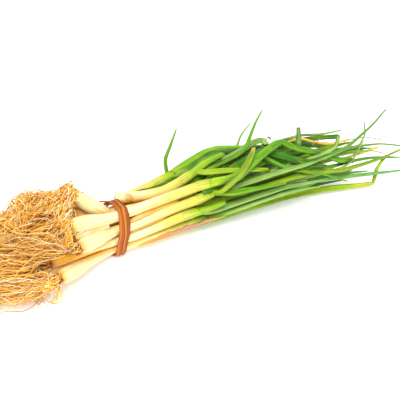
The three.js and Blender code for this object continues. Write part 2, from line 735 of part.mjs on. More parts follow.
// The origin is the middle of the bunch's underside.
const box = new THREE.Box3().setFromObject(bunch);
const middle = box.getCenter(new THREE.Vector3());
bunch.position.set(-middle.x, -middle.y, 0);

export default bunch;
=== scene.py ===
import math
import random

import bmesh
import bpy
import numpy as np
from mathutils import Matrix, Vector
from mathutils.kdtree import KDTree


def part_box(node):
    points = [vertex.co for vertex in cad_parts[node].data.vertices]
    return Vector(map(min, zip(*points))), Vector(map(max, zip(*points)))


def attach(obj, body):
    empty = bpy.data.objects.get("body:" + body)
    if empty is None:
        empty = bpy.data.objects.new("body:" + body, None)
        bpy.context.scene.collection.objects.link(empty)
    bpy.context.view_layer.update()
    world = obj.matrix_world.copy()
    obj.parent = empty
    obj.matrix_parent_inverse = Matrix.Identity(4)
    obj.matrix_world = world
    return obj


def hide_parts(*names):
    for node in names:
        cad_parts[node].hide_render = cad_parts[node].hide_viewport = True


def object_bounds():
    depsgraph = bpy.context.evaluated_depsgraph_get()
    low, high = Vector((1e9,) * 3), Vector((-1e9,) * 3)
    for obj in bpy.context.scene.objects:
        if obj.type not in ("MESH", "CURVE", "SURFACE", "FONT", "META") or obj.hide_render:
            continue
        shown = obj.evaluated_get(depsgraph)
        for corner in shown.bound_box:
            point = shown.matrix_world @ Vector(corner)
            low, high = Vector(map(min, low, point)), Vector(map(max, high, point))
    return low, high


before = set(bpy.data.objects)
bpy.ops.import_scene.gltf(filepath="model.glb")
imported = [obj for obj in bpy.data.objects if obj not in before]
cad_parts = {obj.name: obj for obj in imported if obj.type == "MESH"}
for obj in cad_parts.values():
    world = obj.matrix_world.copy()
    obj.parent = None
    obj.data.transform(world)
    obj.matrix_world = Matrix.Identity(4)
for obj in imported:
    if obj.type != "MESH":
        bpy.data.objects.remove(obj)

cad_low, cad_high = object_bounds()

# ------------------------------
# Camera, light and floor. The bunch lies on a plain white surface under a wide soft light, so that only a
# pale shadow shows below it, and it is seen from a little above, from the side of the roots.

MM = 0.001
CAMERA_FROM_TIE = Vector((-159.6, -355.6, 206.4)) * MM  # from the surface below the tie
TARGET_FROM_TIE = Vector((83.9, 5.35, 21.6)) * MM
LENS_MM = 50
WINDOW_STRENGTH = 3.2
WINDOW_WIDTH = math.radians(30)
WINDOW_WAY = Vector((0.45, 0.6, -0.85))
ROOM_LIGHT = 0.72
WHITE = (1, 1, 1, 1)
FLOOR_SIZE = 30.0
FLOOR_GRAIN = 3.0
FLOOR_TONES = "F7F7F7 FAFAFA"
FLOOR_GLOW = 0.36  # keeps the surface as white as the room behind it

tie_low, tie_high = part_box("tie")
below_tie = Vector(((tie_low[0] + tie_high[0]) / 2, (tie_low[1] + tie_high[1]) / 2, 0))


def placed(name, data):
    """A new object with this data, in the scene."""
    made = bpy.data.objects.new(name, data)
    bpy.context.scene.collection.objects.link(made)
    return made


def mesh_of(name, made):
    """A mesh with what was built, which is then freed."""
    data = bpy.data.meshes.new(name)
    made.to_mesh(data)
    made.free()
    return data


camera = placed("camera", bpy.data.cameras.new("camera"))
camera.data.lens = LENS_MM
camera.location = below_tie + CAMERA_FROM_TIE
camera.rotation_euler = (TARGET_FROM_TIE - CAMERA_FROM_TIE).to_track_quat("-Z", "Y").to_euler()
bpy.context.scene.camera = camera
bpy.context.scene.view_settings.view_transform = "Standard"

lamp = bpy.data.lights.new("window", "SUN")
lamp.energy = WINDOW_STRENGTH
lamp.angle = WINDOW_WIDTH
window = placed("window", lamp)
window.rotation_euler = WINDOW_WAY.to_track_quat("-Z", "Y").to_euler()


def new_material(name):
    made = bpy.data.materials.new(name)
    made.use_nodes = True
    return made, made.node_tree, made.node_tree.nodes["Principled BSDF"]


def add_node(tree, kind, values=None, **settings):
    """A node with its settings, and with its inputs linked or set by name or number."""
    made = tree.nodes.new(kind)
    for key, value in settings.items():
        setattr(made, key, value)
    for key, value in (values or {}).items():
        if isinstance(value, bpy.types.NodeSocket):
            tree.links.new(value, made.inputs[key])
        else:
            made.inputs[key].default_value = value
    return made


def mix_colours(tree, share, a, b, way="MIX"):
    made = add_node(tree, "ShaderNodeMix", {0: share, 6: a, 7: b}, data_type="RGBA", blend_type=way)
    return made.outputs[2]


def colour(code):
    """A colour in linear values from its six hexadecimal digits."""
    parts = [int(code[i : i + 2], 16) / 255 for i in (0, 2, 4)]
    return tuple(p / 12.92 if p < 0.04045 else ((p + 0.055) / 1.055) ** 2.4 for p in parts) + (1,)


def colours(codes):
    return [colour(code) for code in codes.split()]


def palette(**codes):
    return {name: colour(code) for name, code in codes.items()}


# The room lights the bunch softly, and is white where it shows behind the surface.
world = bpy.data.worlds.new("studio")
world.use_nodes = True
room_shader = world.node_tree.nodes["Background"]
room_shader.inputs["Color"].default_value = WHITE
seen = add_node(world.node_tree, "ShaderNodeLightPath").outputs["Is Camera Ray"]
strength = add_node(world.node_tree, "ShaderNodeMix", {0: seen, 2: ROOM_LIGHT, 3: 1.0})
world.node_tree.links.new(strength.outputs[0], room_shader.inputs["Strength"])
bpy.context.scene.world = world

floor_mesh = bmesh.new()
bmesh.ops.create_grid(floor_mesh, x_segments=1, y_segments=1, size=FLOOR_SIZE / 2)
floor = placed("floor", mesh_of("floor", floor_mesh))
floor_finish, floor_tree, floor_shader = new_material("white_table")
grain = add_node(floor_tree, "ShaderNodeTexNoise", {"Scale": FLOOR_GRAIN})
floor_colour = mix_colours(floor_tree, grain.outputs["Fac"], *colours(FLOOR_TONES))
floor_tree.links.new(floor_colour, floor_shader.inputs["Base Color"])
for socket, value in (
    ("Roughness", 0.9),
    ("Specular IOR Level", 0.1),
    ("Emission Color", WHITE),
    ("Emission Strength", FLOOR_GLOW),
):
    floor_shader.inputs[socket].default_value = value
floor.data.materials.append(floor_finish)

# ------------------------------
# Shafts: sixteen shafts of rolled-up leaf bases, smooth and moist, swollen above the root plate and drawn in
# at the tie. They are cream, yellow-green at the neck, veined and streaked with gold, and darkened in the
# crevices between them with painted shade, yellow and then brown. The one on top was cut off above its roots.

SHAFT_SIDES = 28
SHAFT_CORNERS = 8  # of the CAD tube's section
END_RING_EDGES = 5  # that meet in each corner of the ring at a CAD tube's point
SHAFT_STEP = 2.5 * MM
SKIN = 0.97  # how wide the finished skin is over the CAD tube's corners
SWELLING = 1.1 * MM  # of the bulb, where the shafts stand apart
SWELLING_AT = 12 * MM
SWELLING_LENGTH = 13 * MM
FOOT_WIDTHS = (0.86, 0.95)  # of the first two rows
FOOT_LENGTH = 6 * MM  # the stained end above the root plate
FOOT_DRYNESS = 0.4
DRY_FOOT_LENGTH = 3 * MM
NECK_LENGTH = 46 * MM  # over which the shaft turns from cream to yellow-green
PAINTED_SHADE_REACH = 6.5 * MM  # how far from its neighbour a shaft gets painted yellow shade
PAINTED_DARK_SHADE_REACH = 1.3 * MM  # and how far it gets painted brown shade
PAINTED_SHADE_SHARES = (0.85, 0.6)  # how strong the painted yellow shade and the painted brown shade are there
GOLDEN_PAINTED_SHADE_SHARES = (0.2, 0.1)  # the same for a shaft that is golden all over
CREASE_ANGLE = math.radians(35)  # a leaf that turns more than this in one place is creased
CREASE_PULL = 0.25  # how much a line is rounded there
PULL = 0.9  # and elsewhere
LOWEST = 0.05 * MM  # how near the surface a shaft or leaf comes
GRAIN_PER_METRE = 100  # how close the streaks and veins stand
CAD_WELD = 0.001 * MM
WELD = 0.0001 * MM
SHAFT_RIBS = 0.03
ROUNDED_END = 0.3 * MM  # how far the neck's end bulges
# Among the tints are a yellow and a brown painted shade for the crevices between the shafts.
SHAFT_TINTS = palette(
    foot="EDB65C", body="F9EDBC", gold="FFC02C", yellow_crevice="E8AC34", brown_crevice="B5651A",
    neck="CAC956",
)
# How golden a shaft is, if it isn't mostly cream, and at which share of its length it is most so.
GOLDEN = {"01": (0.7, 0.62), "02": (0.35, 0.7), "04": (1.5, 0.14), "11": (0.35, 0.3), "13": (0.8, 0.3)}
USUAL_GOLD = (0.34, 0.68)
GOLD_SPREAD = 0.26
GOLD_STREAKS = 0.25
STREAK_LENGTH = 45 * MM


def welded(node_name):
    """A copy of a CAD node's mesh in which the triangles share their corners."""
    made = bmesh.new()
    made.from_mesh(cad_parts[node_name].data)
    bmesh.ops.remove_doubles(made, verts=made.verts, dist=CAD_WELD)
    made.verts.index_update()
    return made


def read_tubes(made, sides):
    """The tubes of a mesh that end in a point of so many sides: the point, and the rings from there on."""
    found = []
    for tip in made.verts:
        ring = [edge.other_vert(tip) for edge in tip.link_edges]
        if len(ring) != sides or any(len(vert.link_edges) != END_RING_EDGES for vert in ring):
            continue
        rings = []
        seen = {tip}
        while len(ring) == sides:
            rings.append([vert.co.copy() for vert in ring])
            seen.update(ring)
            onward = {edge.other_vert(vert) for vert in ring for edge in vert.link_edges} - seen
            ring = sorted(onward, key=lambda vert: vert.index)
        found.append((tip.co.copy(), rings))
    return found


def centre(ring):
    return sum(ring, Vector()) / len(ring)


def reach(ring):
    middle = centre(ring)
    return max((at - middle).length for at in ring)


class Spine:
    """A smooth line through points, with a half width and a direction of the section at each of them, or one
    for all. A sharp turn is kept as a crease. It gives arrays with a row for each of its samples."""

    def __init__(self, points, halves, sides, step):
        if isinstance(sides, Vector):
            sides = [sides] * len(points)
        self.at, self.half, self.side, self.creases = [], [], [], []
        ways = [(b - a).normalized() for a, b in zip(points, points[1:])]
        turns = [a.angle(b) for a, b in zip(ways, ways[1:])]
        slopes = [ways[0]] + [(a + b).normalized() for a, b in zip(ways, ways[1:])] + [ways[-1]]
        pulls = [PULL] + [CREASE_PULL if turn > CREASE_ANGLE else PULL for turn in turns] + [PULL]
        for i, way in enumerate(ways):
            span = (points[i + 1] - points[i]).length
            pieces = max(1, math.ceil(span / step))
            for k in range(pieces + (i == len(ways) - 1)):
                t = k / pieces
                self.at.append(
                    points[i] * (2 * t**3 - 3 * t**2 + 1)
                    + slopes[i] * span * pulls[i] * (t**3 - 2 * t**2 + t)
                    + points[i + 1] * (3 * t**2 - 2 * t**3)
                    + slopes[i + 1] * span * pulls[i + 1] * (t**3 - t**2)
                )
                self.half.append(halves[i] + (halves[i + 1] - halves[i]) * t)
                self.side.append(sides[i].lerp(sides[i + 1], t))
        for at, before, after, turn in zip(points[1:], ways, ways[1:], turns):
            if turn > CREASE_ANGLE:
                self.creases.append((np.array(at), np.array((after - before).normalized()), turn))
        self.at = np.array(self.at)
        self.half = np.array(self.half)
        self.frame(np.array(self.side))

    def frame(self, side):
        """The directions across and along the line at each sample, how far along it is and at which share."""
        ahead = np.gradient(self.at, axis=0)
        self.ahead = ahead / np.linalg.norm(ahead, axis=1, keepdims=True)
        side = side - self.ahead * np.sum(side * self.ahead, axis=1, keepdims=True)
        self.side = side / np.linalg.norm(side, axis=1, keepdims=True)
        self.up = np.cross(self.ahead, self.side)
        steps = np.linalg.norm(np.diff(self.at, axis=0), axis=1)
        self.along = np.concatenate([[0], np.cumsum(steps)])
        self.total = self.along[-1]
        self.share = self.along / self.total

    def ends(self):
        return Vector(self.at[0]), Vector(self.at[-1])

    def places(self, across, upward, up):
        """Rows of places so far across the line and so far up from it."""
        up = np.broadcast_to(up, self.at.shape)
        return self.at[:, None] + across[..., None] * self.side[:, None] + upward[..., None] * up[:, None]


def joined(spines, step=1):
    """The samples of several lines in one array, and their half widths in another."""
    middles = np.concatenate([spine.at[::step] for spine in spines])
    return middles, np.concatenate([spine.half[::step] for spine in spines])


def facing_sides(points, facing):
    """The direction across a line at each of its points where its broad side faces one way."""
    ways = [b - a for a, b in zip(points, points[1:])]
    return [facing.cross(way).normalized() for way in ways + ways[-1:]]


def keep_up(places, least=LOWEST):
    """Keeps places above the surface that the bunch lies on."""
    places[..., 2] = np.maximum(places[..., 2], least)


def start_piece():
    made = bmesh.new()
    made.verts.layers.float_color.new("tint")
    made.verts.layers.float_vector.new("grain")
    made.verts.layers.float.new("dry")
    return made


def add_tube(made, rows, tints, dryness, along, poles):
    """Adds a closed tube to a piece. It is a grid whose rows are laid round the given rows of places, joined
    along its two sides and drawn together to a point at each end."""
    count, sides = rows.shape[:2]
    tints = np.broadcast_to(np.asarray(tints), (count, sides, 4))
    dryness = np.broadcast_to(dryness, (count, sides))
    drawn = bmesh.ops.create_grid(made, x_segments=sides, y_segments=count + 1, size=0.5)["verts"]
    tint = made.verts.layers.float_color["tint"]
    grain = made.verts.layers.float_vector["grain"]
    dry = made.verts.layers.float["dry"]
    for vert in drawn:
        column = round((vert.co.x + 0.5) * sides)
        row = round((vert.co.y + 0.5) * (count + 1)) - 1
        inner = min(max(row, 0), count - 1)
        here = (inner, column % sides)
        vert.co = poles[0] if row < 0 else poles[1] if row >= count else rows[here]
        turn = 2 * math.pi * column / sides
        vert[tint] = tints[here]
        vert[grain] = (math.cos(turn), math.sin(turn), along[inner] * GRAIN_PER_METRE)
        vert[dry] = dryness[here]
    bmesh.ops.remove_doubles(made, verts=drawn, dist=WELD)


def finish_piece(name, made, finish, nodes=()):
    """Makes the piece an object that rides on the part and stands for its CAD nodes."""
    bmesh.ops.recalc_face_normals(made, faces=made.faces)
    data = mesh_of(name, made)
    data.materials.append(finish)
    data.shade_smooth()
    piece = placed(name, data)
    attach(piece, "root")
    if nodes:
        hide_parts(*nodes)


def ease(share):
    share = np.clip(share, 0, 1)
    return share * share * (3 - 2 * share)


def graded(stops, share):
    """The tint at each share of the way through a list of tints."""
    stops = np.array(stops)
    at = np.linspace(0, 1, len(stops))
    return np.stack([np.interp(share, at, stops[:, i]) for i in range(4)], axis=-1)


def tinted(base, over, share):
    """One tint laid over another, or over rows of tints, by a share for each row or place."""
    return np.asarray(base) + (np.asarray(over) - np.asarray(base)) * np.asarray(ease(share))[..., None]


def turns_of(sides):
    return 2 * np.pi * np.arange(sides) / sides


def round_rows(spine, halves, flatness, sides, ribs=0.0, seed=0):
    """Rows of places round a spine, as thick as flatness says, with shallow lengthwise ribs."""
    turns = turns_of(sides)
    rough = 1 + ribs * np.sin(turns * 5 + seed) * np.cos(turns * 2 + 2 * seed)
    across = halves[:, None] * np.cos(turns) * rough
    return spine.places(across, (halves * flatness)[:, None] * np.sin(turns) * rough, spine.up)


# The values of a noise from which and to which a streak, stain, vein or spot sets in.
STREAK_BAND = (0.45, 0.68)
STAIN_BAND = (0.5, 0.72)
VEIN_BAND = (0.35, 0.65)
SPOT_BAND = (0.25, 0.75)
WITHERED_BAND = (0.55, 0.85)
VEIN_LIGHT = (1.2, 0.7)  # how light tissue is between veins and on them
SPOT_LIGHT = (0.9, 1.1)
SPOT_SCALE = 110.0
PIECE_SHIFT = (9, 9, 9)  # makes the noise differ from piece to piece
RELIEF_DEPTH = 0.8 * MM
GLOSS = 0.3
SOFT_REACH = (4 * MM, 3 * MM, 1 * MM)  # how far red, green and blue light spread in soft tissue

# What all plant tissue here has in common: the piece's own tint, darker streaks and fine veins along the
# grain, stains in patches, and withered places.
tissue = bpy.data.node_groups.new("plant_tissue", "ShaderNodeTree")
for way, kind, sockets in (
    ("INPUT", "Color", ("Streak", "Stain", "Withered")),
    ("INPUT", "Float", ("Streak share", "Vein share", "Stain share", "Smoothest", "Roughest")),
    ("OUTPUT", "Color", ("Colour",)),
    ("OUTPUT", "Float", ("Roughness", "Height")),
):
    for socket in sockets:
        tissue.interface.new_socket(socket, in_out=way, socket_type="NodeSocket" + kind)
given = add_node(tissue, "NodeGroupInput").outputs
tint, dry, grain = (
    add_node(tissue, "ShaderNodeAttribute", attribute_name=name).outputs[kind]
    for name, kind in (("tint", "Color"), ("dry", "Fac"), ("grain", "Vector"))
)
place = add_node(tissue, "ShaderNodeTexCoord").outputs["Object"]


def maths(way, a, b, kind="ShaderNodeMath"):
    return add_node(tissue, kind, {0: a, 1: b}, operation=way).outputs[0]


def times(a, b):
    return maths("MULTIPLY", a, b)


def noise(place, scale, detail):
    values = {"Vector": place, "Scale": scale, "Detail": detail}
    return add_node(tissue, "ShaderNodeTexNoise", values).outputs["Fac"]


def along_grain(across, along, scale, detail):
    """A noise that is drawn out along the grain and differs from piece to piece."""
    kind = "ShaderNodeVectorMath"
    drawn = maths("MULTIPLY", grain, (across, across, along), kind)
    return noise(maths("ADD", drawn, maths("MULTIPLY", place, PIECE_SHIFT, kind), kind), scale, detail)


def ramp(value, band, light=(0.0, 1.0)):
    """Takes a value from one band of values to another."""
    sockets = ("Value", "From Min", "From Max", "To Min", "To Max")
    return add_node(tissue, "ShaderNodeMapRange", dict(zip(sockets, (value, *band, *light)))).outputs[0]


streaks = along_grain(across=2.2, along=0.13, scale=1.6, detail=4.0)
veins = along_grain(across=7.0, along=0.16, scale=1.3, detail=2.0)
stains = along_grain(across=1.0, along=0.5, scale=1.2, detail=3.0)
streaked = mix_colours(tissue, 1.0, tint, given["Streak"], "MULTIPLY")
body = mix_colours(tissue, times(ramp(streaks, STREAK_BAND), given["Streak share"]), tint, streaked)
body = mix_colours(tissue, times(ramp(stains, STAIN_BAND), given["Stain share"]), body, given["Stain"])
veined = mix_colours(tissue, 1.0, body, ramp(veins, VEIN_BAND, VEIN_LIGHT), "MULTIPLY")
body = mix_colours(tissue, given["Vein share"], body, veined)
spots = noise(place, scale=SPOT_SCALE, detail=3.0)
body = mix_colours(tissue, 1.0, body, ramp(spots, SPOT_BAND, SPOT_LIGHT), "MULTIPLY")
edge = ramp(maths("ADD", dry, times(streaks, 0.7)), WITHERED_BAND)
out = add_node(tissue, "NodeGroupOutput")
tissue.links.new(mix_colours(tissue, edge, body, given["Withered"]), out.inputs["Colour"])
gloss = add_node(tissue, "ShaderNodeMix", {0: edge, 2: given["Smoothest"], 3: given["Roughest"]})
tissue.links.new(gloss.outputs[0], out.inputs["Roughness"])
tissue.links.new(maths("ADD", veins, times(spots, 0.3)), out.inputs["Height"])


def tissue_material(name, streak, veins, stain, withered, roughness, bump, soft=0.0):
    """A material of plant tissue. Streaks and stains are given by a colour and a share, and the roughness is
    given for fresh and for withered tissue."""
    made, tree, shader = new_material(name)
    values = {
        "Streak": colour(streak[0]),
        "Streak share": streak[1],
        "Vein share": veins,
        "Stain": colour(stain[0]),
        "Stain share": stain[1],
        "Withered": colour(withered),
        "Smoothest": roughness[0],
        "Roughest": roughness[1],
    }
    skin = add_node(tree, "ShaderNodeGroup", values, node_tree=tissue)
    colour_out, roughness_out, height = skin.outputs
    relief = add_node(tree, "ShaderNodeBump", {"Height": height, "Strength": bump, "Distance": RELIEF_DEPTH})
    tree.links.new(colour_out, shader.inputs["Base Color"])
    tree.links.new(roughness_out, shader.inputs["Roughness"])
    tree.links.new(relief.outputs["Normal"], shader.inputs["Normal"])
    for socket, value in (
        ("Specular IOR Level", GLOSS),
        ("Subsurface Weight", soft),
        ("Subsurface Radius", SOFT_REACH),
        ("Subsurface Scale", 1.0),
    ):
        shader.inputs[socket].default_value = value
    return made


shaft_finish = tissue_material(
    "shaft_skin", streak=("F8D98C", 0.6), veins=0.32, stain=("F3C95A", 0.3), withered="C47C30",
    roughness=(0.33, 0.7), bump=0.15, soft=0.25,
)

shafts = {}
names = [f"{i:02d}" for i in range(1, 17)]
for name in names:
    foot, rings = min(read_tubes(welded("shaft_" + name), SHAFT_CORNERS), key=lambda end: end[0].x)
    points = [centre(ring) for ring in rings]
    halves = [reach(ring) for ring in rings]
    spine = Spine(points, halves, Vector((0, 1, 0)), SHAFT_STEP)
    rooted = "roots_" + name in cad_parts
    shafts[name] = {"foot": foot, "points": points, "spine": spine, "rooted": rooted}

for name, shaft in shafts.items():
    spine = shaft["spine"]
    halves = spine.half * SKIN
    if shaft["rooted"]:
        halves += SWELLING * np.exp(-(((spine.along - SWELLING_AT) / SWELLING_LENGTH) ** 2))
        halves[:2] *= FOOT_WIDTHS
    rows = round_rows(spine, halves, 1.0, SHAFT_SIDES, ribs=SHAFT_RIBS, seed=int(name))
    keep_up(rows)
    # How far each place is from the other shafts, which sets the painted shade in the crevices.
    middles, widths = joined([other["spine"] for key, other in shafts.items() if key != name])
    room = np.min(np.linalg.norm(rows[:, :, None] - middles, axis=3) - widths, axis=2)
    turns = turns_of(SHAFT_SIDES)
    lines = np.sin(3 * turns + int(name)) * np.sin(spine.along[:, None] / STREAK_LENGTH + 5 * turns)
    golden, golden_at = GOLDEN.get(name, USUAL_GOLD)
    gold = golden * np.exp(-(((spine.share - golden_at) / GOLD_SPREAD) ** 2))[:, None] * (1 + 0.7 * lines)
    gold += GOLD_STREAKS * lines
    tints = tinted(SHAFT_TINTS["body"], SHAFT_TINTS["gold"], gold)
    # Painted shade: yellow near a neighbouring shaft, and brown where the shafts nearly touch.
    yellow_shade, brown_shade = PAINTED_SHADE_SHARES if golden < 1 else GOLDEN_PAINTED_SHADE_SHARES
    tints = tinted(tints, SHAFT_TINTS["yellow_crevice"], yellow_shade * (1 - room / PAINTED_SHADE_REACH))
    if shaft["rooted"]:
        tints = tinted(tints, SHAFT_TINTS["foot"], (1 - spine.along / FOOT_LENGTH)[:, None])
    tints = tinted(tints, SHAFT_TINTS["neck"], (1 - (spine.total - spine.along) / NECK_LENGTH)[:, None])
    tints = tinted(tints, SHAFT_TINTS["brown_crevice"], brown_shade * (1 - room / PAINTED_DARK_SHADE_REACH))
    dryness = FOOT_DRYNESS * shaft["rooted"] * np.exp(-spine.along / DRY_FOOT_LENGTH)
    piece = start_piece()
    neck = Vector(spine.at[-1] + spine.ahead[-1] * ROUNDED_END)
    add_tube(piece, rows, tints, dryness[:, None], spine.along, (shaft["foot"], neck))
    finish_piece("plant_" + name + "_shaft", piece, shaft_finish, ["shaft_" + name])

# ------------------------------
# Leaves: long hollow tubes that come out of the neck one inside the other, fresh green or grey with wax,
# yellow-green at the collar and dry and yellow at some tips, and darkened with painted shade where they lie
# close to other plants. They are creased where they fold over and half collapsed along a groove, and the
# torn ones end in a ragged open mouth that is painted dark inside as shade.

LEAF_SIDES = 18
LEAF_CORNERS = 5  # of the CAD tube's section
PEAK_EDGES = 8  # that meet in the peak of the CAD collar
LEAF_STEP = 3 * MM
LEAF_FLATNESS = 0.72
LEAF_WIDENING = 1.12
FACING = Vector((0, -0.5, 0.85))  # which way most leaves turn their broad side
FACING_SWAY = Vector((0, 0.6, 0))  # and how far they turn from it
THIN_LEAF = 1.5 * MM  # half the width of a leaf that stays round
GROOVE_DEPTH = 0.5
GROOVE_WIDTH = 0.42
GROOVE_LENGTH = 31 * MM  # over which it comes and goes
FLATNESS_SWAY = 0.18
FLATNESS_LENGTH = 23 * MM
WOBBLE = 0.03
WOBBLE_LENGTHS = (17 * MM, 7 * MM)
LEAF_FOOT = 0.86  # how wide a leaf is at its foot, as a share of the neck
LEAF_FOOT_DEPTH = 2 * MM  # how deep in the shaft it starts
TORN_HALF = 1.3 * MM  # a leaf that ends wider than this is torn
TORN_EDGE = (-1.5, 0.8)  # how far, in millimetres, its edge is torn back and sticks out
MOUTH = ((0.8, 1.0 * MM), (0.6, 4 * MM))  # widths of two rings in its mouth, and how deep they are
DRY_END = 0.35  # how dry a leaf is at its end, over so many millimetres if it is torn or whole
TORN_DRY, TIP_DRY = 2, 4
LEAF_POINT = 1.5 * MM  # beyond the last ring
LEAF_OPENING = 35 * MM  # length over which it takes its full width
LEAF_FLATTENING = 20 * MM  # and over which it is flattened
COLLAR_SIDES = 24
COLLAR_LENGTH = 14 * MM
COLLAR_DEPTHS = (9 * MM, 4 * MM)  # below its foot, in the shaft
COLLAR_SHOULDER = 5 * MM  # above its foot, where it narrows
COLLAR_LENGTHS = (0.8, 1.15)  # the shortest and the longest
RIM_WIDTH = 0.85
RIM_DEPTH = 2 * MM
COLLAR_WIDTHS = (0.8, 0.94, 1.02, 1.0, 0.9)  # as shares of the neck
COLLAR_SLANT = 4 * MM  # of its rim
LIME_TO = 12 * MM  # from the collar's foot to where the leaf is lime
GREEN_TO = 40 * MM  # and to where it has its own green
SHADED = 4.5 * MM  # how near its neighbours a leaf gets painted shade
STRIPES = 4  # lighter and darker ones along a leaf
STRIPE_DEPTH = 0.16
STRIPE_LENGTH = 40 * MM
FOLD_LENGTH = 5 * MM
FOLD_PRESS = 0.75
# One of the tones, a deep green, is painted shade for places where the leaves crowd.
TONES = palette(
    fresh="5C9A0C", bright="76B014", dark="347208", grey="86AE56", blue="6CA850", lime="9CBE1C",
    pale="84A852", olive="82A016", straw="DCC240", sheath="A4C026", dull="62923A", hollow="204A04",
)
# The tone of each plant's leaves, from the one that reaches least far.
LEAF_TONES = {
    "01": "grey dark fresh",
    "02": "fresh",
    "03": "olive fresh grey",
    "04": "bright grey",
    "05": "grey blue",
    "06": "fresh lime",
    "07": "fresh dark",
    "08": "dark fresh grey",
    "09": "fresh dark",
    "10": "fresh grey dark fresh",
    "11": "bright dark straw",
    "12": "pale dull",
    "13": "pale olive fresh",
    "14": "fresh grey fresh lime",
    "15": "pale fresh grey fresh",
    "16": "bright lime fresh",
}

# Where a leaf has yellowed: the shares of its length between which it has and how withered it is there, by
# plant and by leaf.
YELLOWED = {
    ("03", 0): (0.86, 1.1, 0.05),
    ("06", 1): (0.64, 0.79, 0.2),
    ("11", 2): (0.5, 1.1, 0.34),
    ("13", 2): (0.9, 1.1, 0.3),
    ("14", 3): (0.66, 1.1, 0.24),
}
NOT_YELLOWED = (2, 2, 0)
YELLOWING = 0.12  # the share over which it sets in
SHRIVELLED = 0.3  # how much narrower it is there

leaf_finish = tissue_material(
    "leaf_skin", streak=("A8C060", 0.6), veins=0.55, stain=("C4C430", 0.3), withered="E0B050",
    roughness=(0.38, 0.75), bump=0.35,
)


def press_folds(spine, rows):
    """Presses a tube flat across each crease of its spine."""
    for at, inward, turn in spine.creases:
        away = np.linalg.norm(spine.at - at, axis=1)
        press = FOLD_PRESS * min(1, turn / (math.pi / 2)) * np.exp(-((away / FOLD_LENGTH) ** 2))
        offset = rows - spine.at[:, None]
        rows -= (press[:, None] * (offset @ inward))[:, :, None] * inward
        across = np.cross(inward, spine.ahead)
        width = np.einsum("ijk,ik->ij", offset, across)
        rows += (0.3 * press[:, None] * width)[:, :, None] * across[:, None, :]


def leaf_rows(spine, half, seed):
    """Rows round a leaf, half collapsed along a groove that comes and goes."""
    rows = round_rows(spine, half, 1.0, LEAF_SIDES, ribs=0.05, seed=seed)
    turns = turns_of(LEAF_SIDES)
    open_up = ease(spine.along / LEAF_OPENING)
    wide = 1 + (LEAF_WIDENING - 1) * open_up * ease((half - THIN_LEAF) / THIN_LEAF)
    flat = LEAF_FLATNESS * (1 + FLATNESS_SWAY * np.sin(spine.along / FLATNESS_LENGTH + seed))
    flat = 1 + (flat - 1) * ease(spine.along / LEAF_FLATTENING)
    side = math.pi / 2 if seed % 2 < 1.3 else -math.pi / 2
    off = np.angle(np.exp(1j * (turns - side)))
    groove = GROOVE_DEPTH * (0.5 + 0.5 * np.sin(spine.along / GROOVE_LENGTH + 2 * seed)) * open_up
    dent = 1 - groove[:, None] * np.exp(-((off / GROOVE_WIDTH) ** 2))[None, :]
    offset = rows - spine.at[:, None]
    across = np.einsum("ijk,ik->ij", offset, spine.side) * wide[:, None]
    upward = np.einsum("ijk,ik->ij", offset, spine.up) * flat[:, None] * dent
    return spine.places(across, upward, spine.up)


def leaf_tints(along, tone):
    """From the neck's yellow through lime to the leaf's own green."""
    tints = tinted(SHAFT_TINTS["neck"], TONES["sheath"], along / LIME_TO)
    return tinted(tints, TONES[tone], (along - 0.4 * LIME_TO) / GREEN_TO)


def striped(tints, along, seed):
    """Tints for each place round a leaf, lighter and darker in stripes along it."""
    turns = turns_of(LEAF_SIDES)
    stripes = 0.7 * np.sin(turns + along[:, None] / STRIPE_LENGTH + seed)
    stripes += np.sin(STRIPES * turns + 3 * seed)
    return tints[:, None, :] * (1 + STRIPE_DEPTH * stripes[..., None] * np.array([1, 1, 1, 0]))


leaves = {}
for name in names:
    body = welded("leaves_" + name)
    last = shafts[name]["points"][-1]
    eights = [vert for vert in body.verts if len(vert.link_edges) == PEAK_EDGES]
    peak = min(eights, key=lambda vert: (vert.co - last).length)
    corners = [edge.other_vert(peak).co.copy() for edge in peak.link_edges]
    tips = sorted(read_tubes(body, LEAF_CORNERS), key=lambda end: end[0].x)
    body.free()
    foot = centre(corners)
    around = [(a - foot).cross(b - foot) for a in corners for b in corners]
    axis = max(around, key=lambda v: v.length).normalized()
    lead = Vector(shafts[name]["spine"].ahead[-1])
    if axis.dot(lead) < 0:
        axis = -axis
    neck = reach(corners)
    rng = random.Random(int(name))
    leaves[name] = {"collar": (foot, axis, lead, neck), "rng": rng, "blades": []}
    for number, (tip, rings) in enumerate(tips):
        rings = [ring for ring in reversed(rings) if (centre(ring) - foot).dot(axis) > COLLAR_LENGTH]
        points = [foot - lead * LEAF_FOOT_DEPTH, foot + axis * COLLAR_LENGTH * 0.9]
        points += [centre(ring) for ring in rings]
        free = [reach(ring) for ring in rings]
        start = min(neck * LEAF_FOOT, free[0])
        seed = rng.random() * 6
        sides = facing_sides(points, FACING + FACING_SWAY * math.sin(seed))
        for k in range(1, len(sides)):
            if sides[k].dot(sides[k - 1]) < 0:
                sides[k] = -sides[k]
        spine = Spine(points, [start, start] + free, sides, LEAF_STEP)
        leaves[name]["blades"].append({"spine": spine, "seed": seed, "torn": free[-1] > TORN_HALF})


def shade_near(rows, name):
    """How much painted shade each place of a plant's leaf gets, by how close it is to the other plants'
    shafts and leaves.
    """
    others = [made["spine"] for key, made in shafts.items() if key != name]
    others += [blade["spine"] for key, made in leaves.items() if key != name for blade in made["blades"]]
    middles, widths = joined(others)
    tree = KDTree(len(middles))
    for index, at in enumerate(middles):
        tree.insert(at, index)
    tree.balance()
    found = [tree.find(place) for place in rows.reshape(-1, 3)]
    room = np.array([away - widths[index] for _, index, away in found])
    return np.clip(1 - room / SHADED, 0, 1).reshape(rows.shape[:2])


